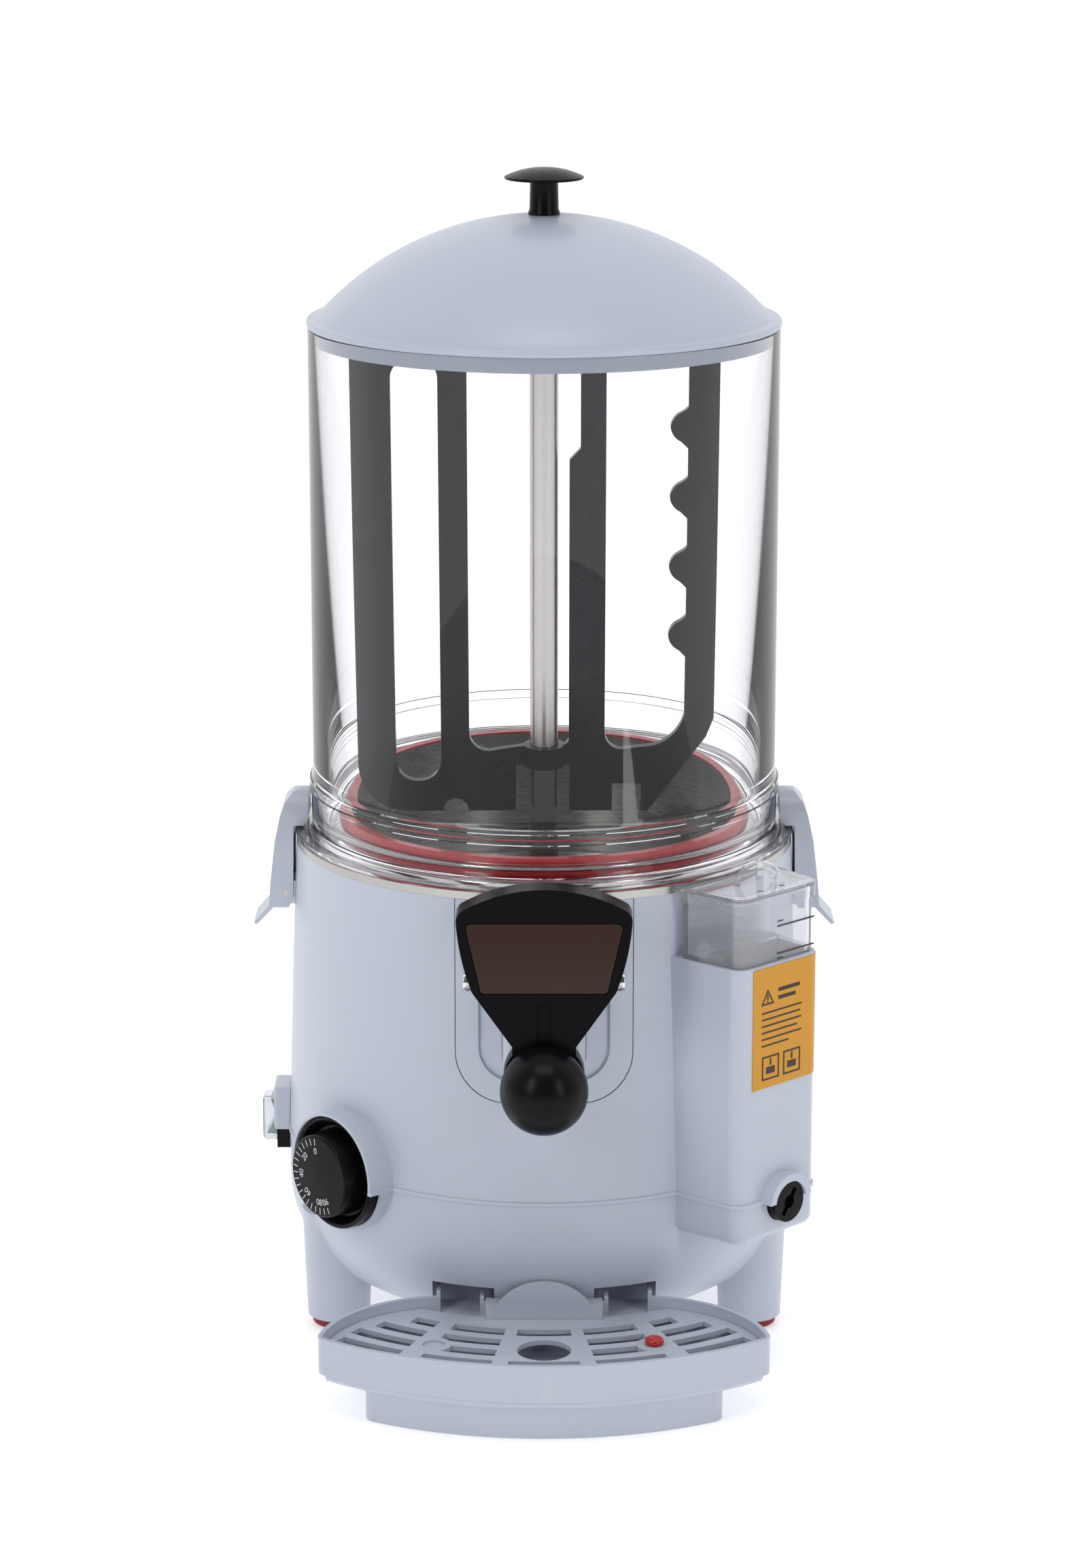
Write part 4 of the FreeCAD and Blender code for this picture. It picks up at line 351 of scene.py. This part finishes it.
def clear(name, colour, milk=0.0, tint=None, density=0.0, bending=1.49):
    """A clear plastic, with an optional body tint and a share of milkiness."""
    material = bpy.data.materials.new(name)
    material.use_nodes = True
    tree = material.node_tree
    shader = tree.nodes["Principled BSDF"]
    shader.inputs["Base Color"].default_value = (*colour, 1)
    shader.inputs["Transmission Weight"].default_value = 1 - milk
    shader.inputs["Roughness"].default_value = 0.01
    shader.inputs["IOR"].default_value = bending
    if tint:
        depth = tree.nodes.new("ShaderNodeVolumeAbsorption")
        depth.inputs["Color"].default_value = (*tint, 1)
        depth.inputs["Density"].default_value = density
        tree.links.new(depth.outputs[0], tree.nodes["Material Output"].inputs["Volume"])
    return material


def bent(start, end, radius, steps):
    """Points on the short arc from start to end; a positive radius turns left."""
    start, end = Vector(start), Vector(end)
    half = (end - start) / 2
    rise = math.sqrt(max(radius * radius - half.length_squared, 0))
    centre = start + half + Vector((-half.y, half.x)).normalized() * math.copysign(rise, radius)
    first = math.atan2(start.y - centre.y, start.x - centre.x)
    last = math.atan2(end.y - centre.y, end.x - centre.x)
    sweep = (last - first) % math.tau if radius > 0 else -((first - last) % math.tau)
    turns = [first + sweep * n / steps for n in range(1, steps)]
    return [(centre.x + abs(radius) * math.cos(a), centre.y + abs(radius) * math.sin(a))
            for a in turns]


def finish(mesh, name, material, replaced, body, limit=30):
    """Shade a finished mesh, give it its material and tie it to the table."""
    for face in mesh.polygons:
        face.use_smooth = True
    mesh.set_sharp_from_angle(angle=math.radians(limit))
    mesh.materials.clear()
    mesh.materials.append(material)
    piece = bpy.data.objects.new(name, mesh)
    scene.collection.objects.link(piece)
    if replaced:
        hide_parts(*replaced)
    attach(piece, body)
    return piece


def lathe(name, corners, segments=192, steps=10, matrix=None):
    """A closed solid turned about Z from (radius, height) corners in millimetres.

    A third number bends the side that leads to the corner.
    """
    outline = []
    for n, corner in enumerate(corners):
        if len(corner) == 3:
            outline += bent(corners[n - 1][:2], corner[:2], corner[2], steps)
        outline.append(corner[:2])
    shape = bmesh.new()
    rings = []
    for radius, height in outline:
        count = segments if radius > 1e-6 else 1
        rings.append([shape.verts.new((radius / 1000 * math.cos(math.tau * k / segments),
                                       radius / 1000 * math.sin(math.tau * k / segments),
                                       height / 1000)) for k in range(count)])
    for n, ring in enumerate(rings):
        other = rings[(n + 1) % len(rings)]
        if len(ring) == 1 and len(other) == 1:
            continue
        for k in range(segments):
            loop = [ring[k % len(ring)], ring[(k + 1) % len(ring)],
                    other[(k + 1) % len(other)], other[k % len(other)]]
            shape.faces.new(list(dict.fromkeys(loop)))
    bmesh.ops.recalc_face_normals(shape, faces=shape.faces)
    shape.transform(matrix or Matrix.Translation(AXIS))
    mesh = bpy.data.meshes.new(name)
    shape.to_mesh(mesh)
    shape.free()
    return mesh


bowl_plastic = clear("bowl_clear", (0.985, 0.987, 1.0), tint=(0.72, 0.7, 0.95), density=3.0,
                     bending=1.36)
bowl_wall = lathe("bowl_wall", [
    (124.9, 247.3), (125.5, 247.9), (125.5, 250.1), (124.9, 250.7, 0.6), (120.4, 250.7),
    (117.4, 253.7, -3), (117.4, 268.9), (118.1, 269.5), (118.1, 271.6), (117.5, 272.1),
    (117.5, 274.2), (118.1, 274.7), (118.1, 276.4), (117.2, 277), (116.3, 279.6), (116.3, 502.7),
    (115.7, 503.3, 0.6), (114.7, 503.3), (114.1, 502.7, 0.6), (114.1, 261.2),
    (107.1, 254.2, -7), (102.1, 254.2), (102.1, 251.4), (111.4, 251.4), (114, 249.9),
    (114, 247.3)])
finish(bowl_wall, "bowl_wall", bowl_plastic, ["bowl"], "base")

# Clear covers: the water-level tank, its filler lid with two crossed loops, the switch cover.
cover_plastic = clear("cover_clear", (0.95, 0.96, 1.0), milk=0.16, tint=(0.78, 0.78, 0.95),
                      density=3.0)
for name in ("sight_tank", "filler_lid", "switch_cover"):
    soften(name, 0.0005, cover_plastic)

# The lid, a satin grey-white dome with a rolled rim and a skirt inside the bowl.
dome_plastic = moulded("dome_grey_white", (0.44, 0.485, 0.58), 0.36, grain=0.12, coat=0.1)
lid_dome = lathe("lid_dome", [
    (2.6, 555.17), (109.3, 507.08, -148.2), (111.3, 503.2), (111.3, 496.3), (111.8, 495.8, 0.5),
    (113, 495.8), (113.5, 496.3, 0.5), (113.5, 503.6), (116.15, 503.6), (116.75, 504.2, 0.6),
    (116.75, 505.6), (115.4, 507, 1.4), (113.2, 507.1), (111.9, 507.6, -2),
    (2.6, 557.38, 150.4)], steps=24)
finish(lid_dome, "lid_dome", dome_plastic, ["lid"], "lid")

# The black knob on the lid, with a thin domed cap, and its screw from below.
black_plastic = moulded("satin_black", (0.0035, 0.0035, 0.0045), 0.3, grain=0.25, painted_edge_highlight=0,
                        specular=0.12)
knob_cap = lathe("knob_cap", [
    (2.45, 557.4), (7.6, 557.4), (7.95, 557.75, 0.35), (7.15, 560), (6.85, 572.4),
    (8.65, 574, -1.8), (18.6, 574.3), (19.4, 575.1, 0.9), (19.3, 575.7, 0.9), (0, 580, 42.8),
    (0, 570.4), (2.45, 570.4)], segments=96)
finish(knob_cap, "knob_cap", black_plastic, ["lid_knob"], "lid")

# The stirrer, a black moulded frame with a serrated edge that scrapes the bowl.
paddle_plastic = moulded("stirrer_black", (0.005, 0.007, 0.01), 0.22, grain=0.15, painted_edge_highlight=0,
                         specular=0.15)
soften("stirrer", 0.0012, paddle_plastic)

# The tap: body, cap and the lever whose shield leans out to a ball.
for name in ("tap_body", "tap_cap"):
    soften(name, 0.0006, shell_plastic)
soften("tap_lever", 0.0009, black_plastic)
BALL_RADIUS = 20.9
BALL_CENTRE = AXIS + Vector((0, -0.176, 0.1655))
ball_skin = lathe("ball_skin", [(0, -BALL_RADIUS), (0, BALL_RADIUS, BALL_RADIUS)], segments=96,
                  steps=64, matrix=Matrix.Translation(BALL_CENTRE))
finish(ball_skin, "ball_skin", black_plastic, ["tap_ball"], "lever")

# The blank name plate on the shield, glossy brown.
brown = moulded("name_plate_brown", (0.03, 0.009, 0.005), 0.16, grain=0.05, painted_edge_highlight=0, coat=0.4)
soften("tap_name_plate", 0.0003, brown)


# A row of equal marks set round an arc: ridges of a knurl, ticks of a scale.
def arc_of_marks():
    """Boxes on an arc about Z, each turned to face outwards."""
    tree = bpy.data.node_groups.new("arc_of_marks", "GeometryNodeTree")
    face = tree.interface
    for name, kind, start in (("Count", "Int", 12), ("Radius", "Float", 0.01),
                              ("First Angle", "Float", 0.0), ("Sweep", "Float", 6.283),
                              ("Mark Size", "Vector", (0.001, 0.001, 0.001))):
        socket = face.new_socket(name, in_out="INPUT", socket_type="NodeSocket" + kind)
        socket.default_value = start
    face.new_socket("Material", in_out="INPUT", socket_type="NodeSocketMaterial")
    face.new_socket("Geometry", in_out="OUTPUT", socket_type="NodeSocketGeometry")
    add, link = tree.nodes.new, tree.links.new
    given, made = add("NodeGroupInput"), add("NodeGroupOutput")

    def maths(operation, first, second=None):
        node = add("ShaderNodeMath")
        node.operation = operation
        for n, value in enumerate((first, second)):
            if isinstance(value, (int, float)):
                node.inputs[n].default_value = value
            elif value is not None:
                link(value, node.inputs[n])
        return node.outputs[0]

    index = add("GeometryNodeInputIndex")
    share = maths("DIVIDE", index.outputs[0], given.outputs["Count"])
    angle = maths("ADD", maths("MULTIPLY", share, given.outputs["Sweep"]),
                  given.outputs["First Angle"])
    spot = add("ShaderNodeCombineXYZ")
    link(maths("MULTIPLY", maths("COSINE", angle), given.outputs["Radius"]), spot.inputs[0])
    link(maths("MULTIPLY", maths("SINE", angle), given.outputs["Radius"]), spot.inputs[1])
    points = add("GeometryNodePoints")
    link(given.outputs["Count"], points.inputs["Count"])
    link(spot.outputs[0], points.inputs["Position"])
    turn = add("ShaderNodeCombineXYZ")
    link(angle, turn.inputs[2])
    mark = add("GeometryNodeMeshCube")
    link(given.outputs["Mark Size"], mark.inputs["Size"])
    spread = add("GeometryNodeInstanceOnPoints")
    link(points.outputs[0], spread.inputs["Points"])
    link(mark.outputs[0], spread.inputs["Instance"])
    link(turn.outputs[0], spread.inputs["Rotation"])
    real = add("GeometryNodeRealizeInstances")
    link(spread.outputs[0], real.inputs[0])
    skin = add("GeometryNodeSetMaterial")
    link(real.outputs[0], skin.inputs["Geometry"])
    link(given.outputs["Material"], skin.inputs["Material"])
    link(skin.outputs[0], made.inputs[0])
    return tree


MARKS = arc_of_marks()


def grown(name, tree, matrix, **amounts):
    """The mesh that a node group makes from its named inputs, moved by a matrix."""
    seed = bpy.data.objects.new(name + "_seed", bpy.data.meshes.new(name + "_seed"))
    scene.collection.objects.link(seed)
    growth = seed.modifiers.new("growth", "NODES")
    growth.node_group = tree
    sockets = {item.name: item.identifier for item in tree.interface.items_tree
               if item.in_out == "INPUT"}
    for label, amount in amounts.items():
        growth[sockets[label.replace("_", " ")]] = amount
    seed.update_tag()
    bpy.context.view_layer.update()
    graph = bpy.context.evaluated_depsgraph_get()
    mesh = bpy.data.meshes.new_from_object(seed.evaluated_get(graph), depsgraph=graph)
    bpy.data.objects.remove(seed)
    mesh.name = name
    mesh.transform(matrix)
    return mesh


def merged(name, *meshes):
    """Several meshes as one."""
    shape = bmesh.new()
    for mesh in meshes:
        shape.from_mesh(mesh)
    mesh = bpy.data.meshes.new(name)
    shape.to_mesh(mesh)
    shape.free()
    return mesh


# Two chrome thumb screws that hold the tap lever, with a fine knurl.
chrome = brushed("chrome", (0.78, 0.78, 0.78), 0.13, (400, 900, 900))
LEVER_PIN = AXIS + Vector((0, -0.131, 0.206))
screws = []
for side in (-1, 1):
    across = (Matrix.Translation(LEVER_PIN)
              @ Matrix.Rotation(side * math.pi / 2, 4, "Y"))
    screws.append(lathe(f"thumb_screw_{side}", [
        (0, 12.2), (3, 12.2), (3, 26.5), (4.1, 26.5), (4.6, 27, 0.5), (4.6, 38.2),
        (3.9, 39, 0.8), (2.2, 39), (1.9, 38.6), (0, 38.6)], segments=64, matrix=across))
    screws.append(grown("knurl", MARKS, across @ Matrix.Translation((0, 0, 0.0326)), Count=36,
                        Radius=0.0046, Mark_Size=(0.0006, 0.00042, 0.0096)))
finish(merged("thumb_screws", *screws), "thumb_screws", chrome, ["tap_thumb_screws"],
       "base")


# The tap's return spring, a closed coil round the plunger stem.
def coil_group():
    """Round wire wound about Z."""
    tree = bpy.data.node_groups.new("wound_wire", "GeometryNodeTree")
    face = tree.interface
    for name, start in (("Turns", 6.0), ("Radius", 0.005), ("Height", 0.01), ("Wire", 0.0006)):
        socket = face.new_socket(name, in_out="INPUT", socket_type="NodeSocketFloat")
        socket.default_value = start
    face.new_socket("Geometry", in_out="OUTPUT", socket_type="NodeSocketGeometry")
    add, link = tree.nodes.new, tree.links.new
    given, made = add("NodeGroupInput"), add("NodeGroupOutput")
    spiral = add("GeometryNodeCurveSpiral")
    spiral.inputs["Resolution"].default_value = 32
    link(given.outputs["Turns"], spiral.inputs["Rotations"])
    link(given.outputs["Radius"], spiral.inputs["Start Radius"])
    link(given.outputs["Radius"], spiral.inputs["End Radius"])
    link(given.outputs["Height"], spiral.inputs["Height"])
    wire = add("GeometryNodeCurvePrimitiveCircle")
    wire.inputs["Resolution"].default_value = 12
    link(given.outputs["Wire"], wire.inputs["Radius"])
    tube = add("GeometryNodeCurveToMesh")
    tube.inputs["Fill Caps"].default_value = True
    link(spiral.outputs[0], tube.inputs["Curve"])
    link(wire.outputs[0], tube.inputs["Profile Curve"])
    link(tube.outputs[0], made.inputs[0])
    return tree


SPRING_FOOT = AXIS + Vector((0, -0.141, 0.2039))
coil = grown("return_spring", coil_group(), Matrix.Translation(SPRING_FOOT), Turns=5.5,
             Radius=0.0059, Height=0.0063, Wire=0.0006)
spring = finish(coil, "return_spring", turned_steel, ["tap_spring"], "base")
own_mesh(spring)


# Flat printed or raised marks, drawn as closed outlines in millimetres on a face.
def face_at(azimuth, reach, height, aside=0.0):
    """A plane that faces away from the tank axis: X to its right, Y up, Z outwards."""
    turn = math.radians(azimuth)
    out = Vector((math.cos(turn), math.sin(turn), 0))
    right = Vector((-math.sin(turn), math.cos(turn), 0))
    spot = AXIS + (out * reach + right * aside) / 1000 + Vector((0, 0, height / 1000))
    return Matrix.Translation(spot) @ Matrix((right, (0, 0, 1), out)).transposed().to_4x4()


def printed(name, outlines, matrix, thick=0.12):
    """Thin closed slabs; an outline given as a pair has the second one as its hole."""
    shape = bmesh.new()
    for outline in outlines:
        outer, inner = outline if isinstance(outline, tuple) else (outline, None)
        rows = []
        for points in (outer, inner):
            if points:
                rows.append([[shape.verts.new((x / 1000, y / 1000, z / 1000)) for x, y in points]
                             for z in (0, thick)])
        for low, top in rows:
            for k in range(len(low)):
                nxt = (k + 1) % len(low)
                shape.faces.new((low[k], low[nxt], top[nxt], top[k]))
        for level in (0, 1):
            if inner:
                for k in range(len(outer)):
                    nxt = (k + 1) % len(outer)
                    shape.faces.new((rows[0][level][k], rows[0][level][nxt],
                                     rows[1][level][nxt], rows[1][level][k]))
            else:
                shape.faces.new(rows[0][level])
    bmesh.ops.recalc_face_normals(shape, faces=shape.faces)
    shape.transform(matrix)
    mesh = bpy.data.meshes.new(name)
    shape.to_mesh(mesh)
    shape.free()
    return mesh


def bar(x, y, wide, tall):
    return [(x - wide / 2, y - tall / 2), (x + wide / 2, y - tall / 2),
            (x + wide / 2, y + tall / 2), (x - wide / 2, y + tall / 2)]


def band(points, share):
    """A closed band between an outline and a smaller copy of it."""
    middle = sum((Vector(p) for p in points), Vector((0, 0))) / len(points)
    return points, [tuple(middle + (Vector(p) - middle) * share) for p in points]


# The orange label on the housing: a small warning triangle, ruled lines and two framed signs.
orange = moulded("label_orange", (0.62, 0.28, 0.004), 0.42, grain=0.05, painted_edge_highlight=0)
paint("water_label", orange)
label_ink = moulded("label_ink", (0.03, 0.012, 0.008), 0.5, grain=0.05, painted_edge_highlight=0)
HOUSING_TURN = -46
triangle = [(-14.5, 14.5), (-5.5, 14.5), (-10, 22.3)]
sign = [band(triangle, 0.7), bar(-10, 18.1, 0.9, 2.6), bar(-10, 15.9, 0.9, 0.8),
        bar(5, 20.6, 15, 1.8), bar(3.5, 16.6, 12, 1.8)]
for row, wide in enumerate((28, 27, 28, 25, 28, 19)):
    sign.append(bar(wide / 2 - 14, 10.5 - 3.3 * row, wide, 0.8))
for middle in (-7.5, 7.5):
    sign.append(band(bar(middle, -17.5, 12, 12), 0.86))
    sign.append(bar(middle, -18.8, 6, 3.4))
    sign.append(bar(middle, -14.6, 1.1, 3.4))
finish(printed("label_print", sign, face_at(HOUSING_TURN, 165.12, 178)), "label_print",
       label_ink, None, "base")

# Upper and lower level lines moulded on the face of the water-level tank.
level_lines = [bar(12, height, 26, 0.9) for height in (229.4, 215.7)]
level_lines += [bar(1, height, 4, 0.7) for height in (231.8, 213.3)]
level_ink = moulded("level_ink", (0.03, 0.034, 0.045), 0.5, painted_edge_highlight=0)
finish(printed("level_lines", level_lines, face_at(HOUSING_TURN, 162.42, 0)), "level_lines",
       level_ink, None, "base")

# The drain tube and its plug, pushed in below the housing's face.
soften("drain_tube", 0.0004, shell_plastic)
soften("drain_plug", 0.0005, black_plastic)

# The thermostat dial: a black bezel, the knob, its scale of ticks and plain numbers.
soften("dial_bezel", 0.0007, black_plastic)
soften("dial_knob", 0.0008, black_plastic)
scale_ink = moulded("scale_ink", (0.55, 0.56, 0.58), 0.5, grain=0.05, painted_edge_highlight=0)
DIAL_TURN, DIAL_REACH, DIAL_HEIGHT = 222, 149.72, 95.9
SCALE_START, SCALE_SWEEP, SCALE_STEP = 98, 209, 22
FIGURE_RADIUS = 0.0128
dial_face = face_at(DIAL_TURN, DIAL_REACH, DIAL_HEIGHT)
ticks = grown("scale_ticks", MARKS, dial_face, Count=19, Radius=0.0175,
              First_Angle=math.radians(SCALE_START), Sweep=math.radians(SCALE_SWEEP),
              Mark_Size=(0.0033, 0.0005, 0.0002))
figures = []
for n in (0, 2, 4, 6, 8, 9):
    script = bpy.data.curves.new(f"figure_{n}", "FONT")
    script.body = str(n * 10)
    script.size = 0.0046
    script.extrude = 0.0001
    script.align_x = "CENTER"
    script.align_y = "CENTER"
    holder = bpy.data.objects.new(f"figure_{n}", script)
    scene.collection.objects.link(holder)
    graph = bpy.context.evaluated_depsgraph_get()
    figure = bpy.data.meshes.new_from_object(holder.evaluated_get(graph), depsgraph=graph)
    bpy.data.objects.remove(holder)
    turn = math.radians(SCALE_START + SCALE_STEP * n)
    spot = (FIGURE_RADIUS * math.cos(turn), FIGURE_RADIUS * math.sin(turn), 0.0001)
    figure.transform(dial_face @ Matrix.Translation(spot)
                     @ Matrix.Rotation(turn - math.pi / 2, 4, "Z"))
    figures.append(figure)
finish(merged("dial_scale", ticks, *figures), "dial_scale", scale_ink, None, "dial")

# The switch: black frame, green rocker with a V-shaped face, clear cover and a moulded hood.
soften("switch_frame", 0.0005, black_plastic)
soften("switch_hood", 0.0006, shell_plastic)
green = moulded("rocker_green", (0.0, 0.2, 0.06), 0.2, grain=0.05, painted_edge_highlight=0, coat=0.5)
soften("rocker", 0.0005, green)

# Side latches, the cable gland and the drip tray with its grid and red level float.
for name in ("latch_left", "latch_right"):
    soften(name, 0.0012, shell_plastic)
soften("cable_gland", 0.0006, black_plastic)
soften("drip_tray", 0.0012, shell_plastic)
soften("drip_grid", 0.0009, shell_plastic)
float_plastic = moulded("float_red", (0.5, 0.008, 0.01), 0.28, grain=0.05, painted_edge_highlight=0,
                        coat=0.3)
soften("tray_float", 0.0006, float_plastic)
